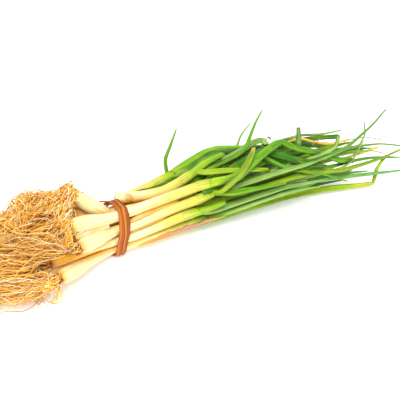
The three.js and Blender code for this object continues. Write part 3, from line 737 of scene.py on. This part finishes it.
for name, made in leaves.items():
    foot, axis, lead, neck = made["collar"]
    rng = made["rng"]
    piece = start_piece()
    for number, blade in enumerate(made["blades"]):
        spine, torn = blade["spine"], blade["torn"]
        long, short = (spine.along / length for length in WOBBLE_LENGTHS)
        wobble = WOBBLE * (np.sin(long + number) + np.sin(short + 2 * number))
        first, last, withered = YELLOWED.get((name, number), NOT_YELLOWED)
        yellow = np.clip(np.minimum(spine.share - first, last - spine.share) / YELLOWING, 0, 1)
        half = spine.half * (1 + wobble) * (1 - SHRIVELLED * yellow * (last > 1))
        rows = leaf_rows(spine, half, blade["seed"])
        press_folds(spine, rows)
        keep_up(rows)
        dry_end = (TORN_DRY if torn else TIP_DRY) * MM
        dryness = DRY_END * np.clip(1 - (spine.total - spine.along) / dry_end, 0, 1)
        dryness = np.maximum(dryness, withered * yellow)
        tints = tinted(leaf_tints(spine.along, LEAF_TONES[name].split()[number]), TONES["straw"], yellow)
        tints = striped(tints, spine.along, blade["seed"])
        # Painted shade: the leaf turns deep green where it lies close to other plants.
        tints = tinted(tints, TONES["hollow"], 0.9 * shade_near(rows, name))
        lengths = spine.along
        end, onward = spine.at[-1], spine.ahead[-1]
        far = Vector(end + onward * LEAF_POINT)
        if torn:
            rows[-1] += np.array([rng.uniform(*TORN_EDGE) * MM for _ in range(LEAF_SIDES)])[:, None] * onward
            rings = [end + (rows[-1] - end) * wide - onward * deep for wide, deep in MOUTH]
            rows = np.concatenate([rows, rings])
            # The mouth's outer ring is pale, and its inner ring is painted shade, deep green.
            mouth = np.array([TONES["pale"], TONES["hollow"]])[:, None, :] + np.zeros((2, LEAF_SIDES, 4))
            tints = np.concatenate([tints, mouth])
            dryness = np.concatenate([dryness, [0, 0]])
            lengths = np.concatenate([lengths, [spine.total] * 2])
            far = Vector(end - onward * MOUTH[-1][1])
        near = Vector(spine.at[0] - spine.ahead[0] * MM)
        add_tube(piece, rows, tints, dryness[:, None], lengths, (near, far))
    # The collar is the outermost sheath, open at its upper rim.
    length = COLLAR_LENGTH * rng.uniform(*COLLAR_LENGTHS)
    points = [foot - lead * depth for depth in COLLAR_DEPTHS]
    points += [foot, foot + axis * COLLAR_SHOULDER, foot + axis * length]
    spine = Spine(points, [neck * share for share in COLLAR_WIDTHS], Vector((0, 1, 0)), 2 * MM)
    rows = round_rows(spine, spine.half, 1.0, COLLAR_SIDES, ribs=SHAFT_RIBS, seed=int(name))
    slant = (np.sin(turns_of(COLLAR_SIDES) + int(name)) * COLLAR_SLANT)[:, None] * spine.ahead[-1]
    rows[-1] += slant
    rows[-2] += slant / 2
    inner = spine.at[-1] + (rows[-1] - spine.at[-1]) * RIM_WIDTH - spine.ahead[-1] * RIM_DEPTH
    rows = np.concatenate([rows, inner[None]])
    along = np.concatenate([spine.along, [spine.total]])
    tints = leaf_tints(along - COLLAR_DEPTHS[0], LEAF_TONES[name].split()[0])[:, None, :]
    # Painted shade on the collar where it lies close to other plants.
    tints = tinted(tints, TONES["hollow"], 0.5 * shade_near(rows, name))
    poles = (Vector(spine.at[0]), Vector(spine.at[-1] - spine.ahead[-1] * 1.5 * RIM_DEPTH))
    add_tube(piece, rows, tints, 0, along, poles)
    finish_piece("plant_" + name + "_leaves", piece, leaf_finish, ["leaves_" + name])

# ------------------------------
# Roots: each plant's beard of wiry dry roots, straw-coloured and orange-brown, that leave the whole of a
# small brown root plate, curl and tangle with their neighbours'.

ROOTS_PER_STRAND = 12
SHORT_ROOTS = 22  # of each plant, which hang near its plate
ROOT_SIDES = 4
ROOT_CORNERS = 3  # of the CAD strand's section
ROOT_STEP = 2.4 * MM
THINNEST_ROOT = 0.26 * MM
THICKEST_ROOT = 0.5 * MM
SHORT_CURL = (0.6, 2.0)  # the least and the most, in millimetres
LONG_CURL = (0.7, 2.6)
ROOT_LEAD = 4 * MM  # how far a root runs straight from the plate
STRAYING = 1.3 * MM  # how far each point of a root is off its strand
SHORT_STRAYING = 1.2 * MM
SHORT_LENGTH = (12, 24)
SHORT_LEAN = (0.15, 0.7)
ROOT_TINTS = colours("FFDE8E FFCC62 FFBC44 FFF2CC F8AA34 FFD470")
BROWN_ROOT = colour("A0521C")
TURN_BACK = 2.5 * MM  # how far inside the bunch's width the outermost roots turn back
PLATE_TINT = colour("8A4216")
PLATE_SIDES = 16
PLATE_RINGS = ((0.2, 4.3), (2.2, 4.2), (4.2, 2.9))  # millimetres from the shaft's end, and half width
PLATE_KNOBS = 0.2 * MM
PLATE_REACH = 3.6 * MM  # from its middle, where roots leave it
SHORT_ROOT_DROP = Vector((0, 0, -0.75))
SHORT_ROOT_SHARES = (0.2, 0.45, 0.7, 1.0)
UNDERMOST = "04"  # the golden shaft, which lies in front
FROM_ABOVE = ("01", "02", "03", "11", "12", "13", "14", "15")  # plants whose roots come down on it
ARCH_RISE = 0.51  # how steeply they arch out
ARCH_LEAN = 0.67  # and how far towards the leaves
FALL = 1.3  # how steeply they sink beyond its end
NEIGHBOUR = 21 * MM  # roots tangle with those of a plant that is nearer than this

root_finish = tissue_material(
    "root_skin", streak=("F8CE88", 0.3), veins=0.2, stain=("FAC870", 0.3), withered="C47C30",
    roughness=(0.6, 0.85), bump=0.3,
)

axes_at, axes_half = joined([shaft["spine"] for shaft in shafts.values()], step=3)


def clear_of_shafts(places, margin):
    """Moves places that lie inside a shaft to its outside."""
    picked = np.arange(len(places))
    for _ in range(2):
        gaps = places[:, None] - axes_at
        far = np.linalg.norm(gaps, axis=2)
        nearest = np.argmin(far - axes_half, axis=1)
        short = axes_half[nearest] + margin - far[picked, nearest]
        way = gaps[picked, nearest] / np.maximum(far[picked, nearest], 1e-6)[:, None]
        places = places + way * np.maximum(short, 0)[:, None]
    return places


def held_up(places):
    """Roots that come from above arch out over the front of the golden shaft, and sink beyond its end."""
    under = shafts[UNDERMOST]["spine"]
    front = np.interp(places[:, 0], under.at[:, 0], under.at[:, 1]) - places[:, 1]
    along = places[:, 0] + front * ARCH_LEAN
    crest = np.interp(along, under.at[:, 0], under.at[:, 2] + 0.7 * under.half) + ARCH_RISE * front
    beyond = np.maximum(under.at[0, 0] - 2 * MM - along, 0)
    return np.maximum(places[:, 2], crest - beyond * FALL)


def add_root(made, points, half, curl, rng, brown=0.0, above=False):
    """One root through points, curling to and fro as it goes."""
    spine = Spine(points, [half] * len(points), Vector((0.1, 0.9, 0.3)), ROOT_STEP)
    phase = rng.uniform(0, 6.28)
    pace = rng.uniform(2.2, 5.5) * MM
    swing = np.sin(spine.along / pace + phase)[:, None] * spine.side
    swing += np.cos(spine.along / pace * 0.73 + phase * 2)[:, None] * spine.up
    loose = np.minimum(1, spine.along / (10 * MM))[:, None] * curl
    thin = half * (1 - 0.55 * spine.share)
    spine.at = clear_of_shafts(spine.at + swing * loose, half)
    front, back = cad_low[1] + TURN_BACK, cad_high[1] - TURN_BACK
    spine.at[:, 1] = front + np.abs(spine.at[:, 1] - front)
    spine.at[:, 1] = back - np.abs(back - spine.at[:, 1])
    if above:
        spine.at[:, 2] = held_up(spine.at)
    keep_up(spine.at, thin)
    spine.frame(spine.side)
    rows = round_rows(spine, thin, 1.0, ROOT_SIDES)
    tone = tinted(rng.choice(ROOT_TINTS), BROWN_ROOT, brown)
    tints = tinted(tone, ROOT_TINTS[1], 0.5 * spine.share)
    dryness = rng.choice([0, 0, 0.1, 0.25])
    add_tube(made, rows, tints[:, None], dryness, spine.along, spine.ends())


def jitter(rng, size):
    return Vector([rng.gauss(0, size) for _ in range(3)])


guides = {}
for name in (name for name in names if shafts[name]["rooted"]):
    tubes = read_tubes(welded("roots_" + name), ROOT_CORNERS)
    guides[name] = [[centre(ring) for ring in reversed(rings)] + [tip] for tip, rings in tubes]

for name, strands in guides.items():
    shaft = shafts[name]
    beside = [
        strand
        for key, others in guides.items()
        for strand in others
        if (shafts[key]["points"][0] - shaft["points"][0]).length < NEIGHBOUR
    ]
    away = -Vector(shaft["spine"].ahead[0])
    base = shaft["points"][0]
    plate = base + away * 1.0 * MM
    piece = start_piece()
    rng = random.Random(100 + int(name))
    sideways = Vector((0, 0, 1)).cross(away).normalized()
    upwards = away.cross(sideways)
    # The root plate is a low knobbly cone under the shaft.
    points = [base + away * reached * MM for reached, _ in PLATE_RINGS]
    spine = Spine(points, [half * MM for _, half in PLATE_RINGS], sideways, 0.7 * MM)
    rows = round_rows(spine, spine.half, 1.0, PLATE_SIDES, ribs=0.1, seed=int(name))
    for row in rows:
        for place in row:
            place += jitter(rng, PLATE_KNOBS)
    add_tube(piece, rows, PLATE_TINT, 0.2, spine.along, (base, Vector(spine.at[-1]) + away * 0.4 * MM))
    for guide in strands:
        for _ in range(ROOTS_PER_STRAND):
            other = rng.choice(beside if rng.random() < 0.5 else strands)
            stray = rng.random() ** 1.5
            turn = rng.uniform(0, 2 * math.pi)
            out = (sideways * math.cos(turn) + upwards * math.sin(turn)) * math.sqrt(rng.random())
            start = plate + out * PLATE_REACH + away * rng.uniform(0.5, 2.5) * MM
            points = [start, start + (away + out * 0.6).normalized() * ROOT_LEAD]
            wander = jitter(rng, 1.0)
            reached = rng.uniform(0.6, 1.0)
            for k, at in enumerate(guide):
                share = (k + 1) / len(guide)
                if share <= reached:
                    at = at.lerp(other[min(k, len(other) - 1)], stray * share)
                    points.append(at + wander * (1.0 + 3.0 * share) * MM + jitter(rng, STRAYING))
            half = rng.uniform(THINNEST_ROOT, THICKEST_ROOT)
            curl = rng.uniform(*LONG_CURL) * MM
            brown = rng.choice([0, 0, 0, 0, 0, 0, 0.5, 0.9])
            add_root(piece, points, half, curl, rng, brown=brown, above=name in FROM_ABOVE)
    for _ in range(SHORT_ROOTS):
        turn = rng.uniform(0, 2 * math.pi)
        out = sideways * math.cos(turn) + upwards * math.sin(turn)
        start = plate + out * PLATE_REACH
        length = rng.uniform(*SHORT_LENGTH) * MM
        lean = rng.uniform(*SHORT_LEAN)
        points = [start]
        for share in SHORT_ROOT_SHARES:
            drop = SHORT_ROOT_DROP * share * share
            points.append(start + (away * (0.85 - 0.3 * share) * share + out * lean * share + drop) * length)
            points[-1] += jitter(rng, SHORT_STRAYING)
        half = rng.uniform(THINNEST_ROOT, THICKEST_ROOT)
        add_root(piece, points, half, rng.uniform(*SHORT_CURL) * MM, rng, above=name in FROM_ABOVE)
    finish_piece("plant_" + name + "_roots", piece, root_finish, ["roots_" + name])

# ------------------------------
# Tie: a strip of dried leaf, wound round the bundle in a few flat brown strands, with a loose dark end that
# sticks out over the shafts.

TIE_TINTS = colours("CC742A B05C1C D98A38 A4541A")
STRAND_SPACING = 1.9 * MM
STRAND_HALF = 1.3 * MM
STRAND_FLATNESS = 0.6
TIE_CORNERS = 36  # of the CAD ring
TIE_SIDES = 10
TRIM_STEP = 1.5 * MM
STRAND_SWAY = 0.4 * MM
STRAND_LIFT = 0.25 * MM
# The routes of the loose end, and of a scrap of it that was knotted in, from the surface below the tie, and
# their half widths, in millimetres.
LOOSE_ENDS = [
    ([(0.0, 1.5, 41.0), (-4.5, 3.0, 42.3), (-10.5, 5.0, 42.6), (-16.5, 6.0, 44.2)], 1.1),
    ([(-1.0, -3.0, 41.2), (-5.0, -4.6, 42.4), (-9.0, -6.0, 43.8)], 0.8),
]

tie_finish = tissue_material(
    "tie_skin", streak=("8A4A1C", 0.9), veins=0.8, stain=("6E300C", 0.5), withered="4A2208",
    roughness=(0.55, 0.8), bump=0.6,
)


def routed(route):
    """The places of a route given in millimetres from the surface below the tie."""
    return [below_tie + Vector(at) * MM for at in route]


def tapered(half, points, end):
    """A half width for each point, given in millimetres, of which the last is a share."""
    return [half * MM] * (len(points) - 1) + [end * half * MM]


body = welded("tie")
hub = Vector((0, (tie_low[1] + tie_high[1]) / 2, (tie_low[2] + tie_high[2]) / 2))
by_turn = {}
for vert in body.verts:
    turn = math.atan2(vert.co.z - hub.z, vert.co.y - hub.y)
    by_turn.setdefault(round(turn / (2 * math.pi) * TIE_CORNERS) % TIE_CORNERS, []).append(vert.co.copy())
body.free()
loop = [centre(group) for _, group in sorted(by_turn.items())]
piece = start_piece()
rng = random.Random(7)
for strand, tone in enumerate(TIE_TINTS):
    shift = (strand - (len(TIE_TINTS) - 1) / 2) * STRAND_SPACING
    phase = rng.uniform(0, 6.28)
    points = []
    for i, at in enumerate(loop + loop[:1]):
        turn = 2 * math.pi * i / len(loop)
        sway = math.sin(turn * 3 + phase) * math.sin(turn / 2)
        lift = math.sin(turn * 2 + phase) * math.sin(turn / 2)
        out = Vector((0, at.y - hub.y, at.z - hub.z)).normalized()
        points.append(at + Vector((shift + STRAND_SWAY * sway, 0, 0)) + out * STRAND_LIFT * lift)
    spine = Spine(points, [STRAND_HALF] * len(points), Vector((1, 0, 0)), TRIM_STEP)
    rows = round_rows(spine, spine.half, STRAND_FLATNESS, TIE_SIDES, ribs=0.25, seed=phase)
    keep_up(rows, 0)
    add_tube(piece, rows, tone, 0.1, spine.along, spine.ends())
finish_piece("tie_strands", piece, tie_finish, ["tie"])

piece = start_piece()
for route, half in LOOSE_ENDS:
    points = routed(route)
    spine = Spine(points, tapered(half, points, 0.4), Vector((0.3, 1, 0)), MM)
    rows = round_rows(spine, spine.half, 0.4, TIE_SIDES, ribs=0.2, seed=half)
    tones = graded([TIE_TINTS[1], TIE_TINTS[3]], spine.share)
    add_tube(piece, rows, tones[:, None], 0.2, spine.along, spine.ends())
finish_piece("tie_loose_ends", piece, tie_finish)

# ------------------------------
# Loose skins: thin dried skins that cling to the shafts. One, orange and purple-pink, is wrapped round the
# lowest shaft in front and its collar. The others are golden, pale and dark scraps beside the tie and over
# the root ends.

SKIN_SIDES = 14
SKIN_THICKNESS = 0.3 * MM
SKIN_CURL = 4.2 * MM  # radius that a skin is curled to
# Each skin's route from the surface below the tie, in millimetres, its half width, the way it faces and its
# tints from end to end.
SKINS = [
    ([(14, -13.3, 6.2), (27, -14.6, 7.2), (42, -15.3, 8.6), (58, -16.4, 10.2),
      (76, -18.4, 12.4), (92, -20.6, 14.2)],
     (1.2, 2.4, 2.8, 2.9, 2.6, 0.8), (0, -0.86, -0.5), "EEC24A E8A040 DE9450 CC8A78 C48484 D09A60 B4C43A"),
    ([(-32, -6, 42), (-27, -7, 40), (-22, -8, 38.5), (-17, -9, 36)],
     (1.2, 2.6, 2.8, 1.2), (0.1, -0.65, 0.75), "C9822F DA9A3C C06C20 E0A848"),
    ([(-63, -15.5, 51), (-57, -14, 49.5), (-51, -13.5, 46.5), (-46, -13, 42)],
     (1.5, 3.6, 3.6, 1.4), (0, -0.7, 0.7), "A8581E 7A3414 8E4A1C 6A2A10"),
    ([(-82, -17, 47), (-78, -16, 46), (-74, -15, 45)],
     (1.2, 2.4, 1.2), (0, -0.7, 0.7), "8E4A1C 6A2A10 A8581E"),
    ([(-40, -26, 34.5), (-30, -22.5, 33.5), (-20, -18.8, 32), (-10, -16, 30.8)],
     (2.2, 3.4, 3.2, 1.8), (0, -0.85, 0.5), "F2D28C FBEEC4 F6E0A4 F8E4A8"),
    ([(7, -9, 36.5), (17, -10, 38), (29, -9.6, 39), (41, -9.6, 40.4), (53, -9.6, 42)],
     (1.4, 3.0, 3.2, 2.6, 0.8), (0, -0.6, 0.8), "F6BC48 FACC58 F4B640 F8D868 DCCC48"),
    ([(6, -13, 28), (16, -14, 31), (27, -14, 32.5), (39, -14, 34.5), (50, -14, 36)],
     (1.0, 2.4, 2.6, 2.4, 0.8), (0, -0.8, 0.6), "F0C060 F4D484 ECB448 F0D070 DCD050"),
    ([(7, -14, 20.5), (20, -15, 23.5), (33, -15.5, 26), (44, -16, 28.5)],
     (0.9, 2.0, 2.0, 0.8), (0, -0.85, 0.5), "F0C468 F2CC74 ECBC58 E0D060"),
    ([(12, -0.4, 43.6), (16.4, -0.6, 41.6), (20.4, -0.2, 38.4)],
     (2.2, 3.2, 1.8), (0, -0.8, 0.6), "F4CC80 E8A850 F4CC80"),
    ([(-50, -23.3, 37), (-42, -23.3, 34), (-35, -22, 32), (-27, -18, 30)],
     (1.6, 3.4, 3.4, 1.2), (0, -0.8, 0.5), "C07A2C E2A84C D08C34"),
]

skin_finish = tissue_material(
    "dry_skin", streak=("D9924A", 0.7), veins=0.8, stain=("E6B85A", 0.4), withered="8A4A18",
    roughness=(0.5, 0.8), bump=0.6,
)

piece = start_piece()
for number, (route, widths, facing, tones) in enumerate(SKINS):
    points = routed(route)
    facing = Vector(facing).normalized()
    spine = Spine(points, [width * MM for width in widths], facing_sides(points, facing), TRIM_STEP)
    ragged = 1 + 0.14 * np.sin(spine.along / (3.1 * MM) + number) + 0.1 * np.sin(spine.along / (1.3 * MM))
    rows = round_rows(spine, spine.half * ragged, 1.0, SKIN_SIDES)
    offset = rows - spine.at[:, None]
    out = np.array(facing)
    across = np.einsum("ijk,ik->ij", offset, spine.side)
    thick = np.einsum("ijk,k->ij", offset, out) / (spine.half * ragged)[:, None] * SKIN_THICKNESS / 2
    sunk = thick - across**2 / (2 * SKIN_CURL)
    rows = spine.places(across, sunk, out)
    keep_up(rows)
    tints = graded(colours(tones), spine.share)
    poles = (Vector(rows[0].mean(axis=0)), Vector(rows[-1].mean(axis=0)))
    add_tube(piece, rows, tints[:, None], 0.15, spine.along, poles)
finish_piece("loose_skins", piece, skin_finish)

# ------------------------------
# Stray roots: single roots that stand out of the tangle, loop back to it or lie on the surface beside it,
# and mats of roots that lie over the upper shafts and close the gaps between the uppermost beards.

# Routes from the surface below the tie, in millimetres.
STRAY_ROOTS = [
    [(-50, -22, 8), (-52.5, -20.7, 3), (-55.3, -29.4, 6), (-53.2, -38.6, 6), (-47.3, -36.4, 6),
     (-42.6, -28.4, 6), (-38.8, -17.6, 6)],
    [(-55.6, 12, 48), (-55.6, 15.7, 52.8), (-54.2, 15.7, 58.6), (-50.8, 15.7, 62.4), (-45.4, 15.7, 65.1),
     (-42.7, 15.7, 69.9)],
    [(-54, 13, 50), (-58, 15, 57), (-56, 16, 63), (-49, 16, 68), (-47, 15, 74)],
    [(-29, 6.7, 56), (-31.6, 6.7, 58.8), (-35.9, 6.7, 60.6), (-39.5, 6.7, 62.1), (-45, 6, 61)],
    [(-30, 5, 57), (-32, 4, 61), (-37, 5, 62.5), (-42, 7, 60)],
    [(-66, -20, 6), (-71, -24, 1.5), (-73.5, -34, 0.4), (-73.8, -44, 0.4), (-76, -50, 0.4)],
    [(-68, -22, 5), (-74, -28, 1), (-72, -38, 0.4), (-78, -46, 0.4), (-80, -50, 0.4)],
    [(-70, -20, 6), (-71, -32.5, 0.8), (-67.6, -42, 0.4), (-60, -49.3, 0.4), (-50, -50.5, 0.4)],
    [(62, -15.3, 20.5), (62.6, -15.8, 17), (63, -15.6, 13), (65, -15.3, 10.5), (60, -20.3, 9.5),
     (59, -21.3, 11.9)],
    [(-62, -28, 12), (-66, -38, 4), (-60, -46, 0.4), (-68, -50, 0.4)],
]
STRAY_HALF = 0.28 * MM
STRAY_CURL = 0.5 * MM
# The mats: the route of each, how far its roots stray from it in millimetres, and their number.
MATS = [
    ([(-54, 15, 50), (-60, 13, 44), (-66, 7, 34), (-73, 0, 27)], 2.6, 30),
    ([(-44, -2, 46), (-54, -8, 47), (-64, -11, 48), (-75, -13, 46), (-86, -14, 40)], 3.4, 60),
    ([(-58, 12, 54), (-63, 4, 53), (-68, -4, 52), (-73, -12, 49), (-78, -18, 43)], 3.2, 40),
    ([(-29, 6, 55), (-36, 7, 54), (-44, 10, 53), (-52, 13, 54), (-60, 15, 54)], 2.4, 46),
    ([(-31, 4, 52), (-39, 4, 49), (-48, 6, 47), (-58, 8, 44), (-68, 6, 38)], 3.6, 60),
    ([(-30, 4, 53), (-36, -3, 49), (-44, -10, 46), (-54, -15, 41), (-66, -18, 34)], 3.4, 46),
    ([(-50, 10, 51), (-57, 0, 49), (-65, -8, 45), (-76, -12, 37)], 3.4, 40),
    ([(-42, -18, 44), (-46, -25, 39), (-48, -31, 34), (-55, -35, 31)], 2.0, 36),
    ([(-42, -15, 45.5), (-49, -19, 42), (-57, -24, 38), (-67, -28, 33)], 2.6, 40),
]

piece = start_piece()
rng = random.Random(31)
for route in STRAY_ROOTS:
    add_root(piece, routed(route), STRAY_HALF, STRAY_CURL, rng)
for route, stray, number in MATS:
    for _ in range(number):
        points = [at + jitter(rng, stray * MM) for at in routed(route)]
        half = rng.uniform(THINNEST_ROOT, THICKEST_ROOT)
        add_root(piece, points, half, rng.uniform(*SHORT_CURL) * MM, rng, above=True)
finish_piece("stray_roots", piece, root_finish)

# ------------------------------
# Young leaves: slender leaves deep between the others, which close the hollows of the bunch, and a torn one
# and a blunt upright one that broaden the leaf ends beside them.

OUT_OF_NECK = 50 * MM  # how far from the neck their visible part starts
# Routes from the surface below the tie, in millimetres, with the half width and the tone of each.
YOUNG_LEAVES = [
    ([(26, 10.5, 38), (38, 11, 38.6), (50, 11, 40.5), (64, 11, 42), (82, 11, 43), (105, 11.5, 45),
      (130, 12, 46)], 3.2, "dark"),
    ([(62, 8, 34), (80, 7.5, 37), (102, 6, 40), (128, 3, 42)], 3.2, "fresh"),
    ([(62, 2, 41), (76, 2, 43.5), (86, 2, 44.5), (101, 3, 45), (122, 4, 46)], 3.0, "fresh"),
    ([(92, 20, 50), (120, 17, 51.5), (150, 14, 50), (176, 16, 46)], 2.4, "dark"),
    ([(150, 9, 49), (166, 9.5, 48.4), (178, 10, 46.4), (192, 10, 45), (206, 10, 43)], 2.4, "dark"),
    ([(70, -16.6, 38.5), (82, -16.6, 40.4), (98, -15.6, 43.4), (112, -14.6, 44.4),
      (114, -14.6, 44.4)], 4.2, "fresh"),
    ([(184.2, -2.8, 50.5), (185.2, -3.6, 56), (184, -4.8, 64), (182.2, -5.9, 70.9),
      (181.9, -6, 71.8)], 3.2, "pale"),
    ([(120, -8, 43), (150, -2, 46), (185, 4, 45), (215, 8, 41)], 2.2, "fresh"),
    ([(180, 4, 38), (215, 0, 40), (250, -6, 38), (285, -10, 33)], 2.0, "bright"),
    ([(170, 14, 36), (210, 8, 40), (238, 2, 43), (262, 0, 44)], 2.2, "olive"),
    ([(205, 20, 30), (240, 16, 32), (275, 12, 31), (312, 10, 26)], 2.0, "grey"),
]

piece = start_piece()
for number, (route, half, tone) in enumerate(YOUNG_LEAVES):
    points = routed(route)
    spine = Spine(points, tapered(half, points, 0.3), facing_sides(points, FACING), LEAF_STEP)
    rows = leaf_rows(spine, spine.half, number * 1.7)
    tints = striped(leaf_tints(spine.along + OUT_OF_NECK, tone), spine.along, number)
    # Painted shade, deep green, where the young leaves lie close to the other leaves and shafts.
    tints = tinted(tints, TONES["hollow"], 0.7 * shade_near(rows, "young"))
    add_tube(piece, rows, tints, 0, spine.along, spine.ends())
finish_piece("young_leaves", piece, leaf_finish)

# ------------------------------
# Dry leaf ends: thin withered tips and curls of leaf that stick out among the green leaves, rolled up as
# they dried, grey-green, golden or brown.

# Routes from the surface below the tie, in millimetres, with the half width and the tint of each.
DRY_ENDS = [
    ([(252, 1, 45.5), (259.8, 0.7, 46.2), (271.5, 1, 45.7), (283.5, 2, 44.8), (296, 2, 41.6),
      (307.7, 1, 38.6), (315.6, 0.7, 38.9)], 0.6, "8A9A4A"),
    ([(286, -2, 31), (298, -1, 28), (310, 0, 24), (321, 1, 19)], 0.8, "D9A93A"),
    ([(164, 20, 50), (167, 20, 57), (170, 20, 59.5), (173, 20, 57), (172, 20, 54)], 0.8, "54602A"),
    ([(205, -2, 51), (211, -3, 54.5), (215, -3, 56.5), (213, -3, 59)], 0.7, "C9702A"),
]

piece = start_piece()
for route, half, tone in DRY_ENDS:
    points = routed(route)
    spine = Spine(points, tapered(half, points, 0.25), FACING, TRIM_STEP)
    rows = round_rows(spine, spine.half, 0.55, 8, ribs=0.15, seed=half * 10)
    add_tube(piece, rows, colour(tone), 0.1, spine.along, spine.ends())
finish_piece("dry_leaf_ends", piece, leaf_finish)
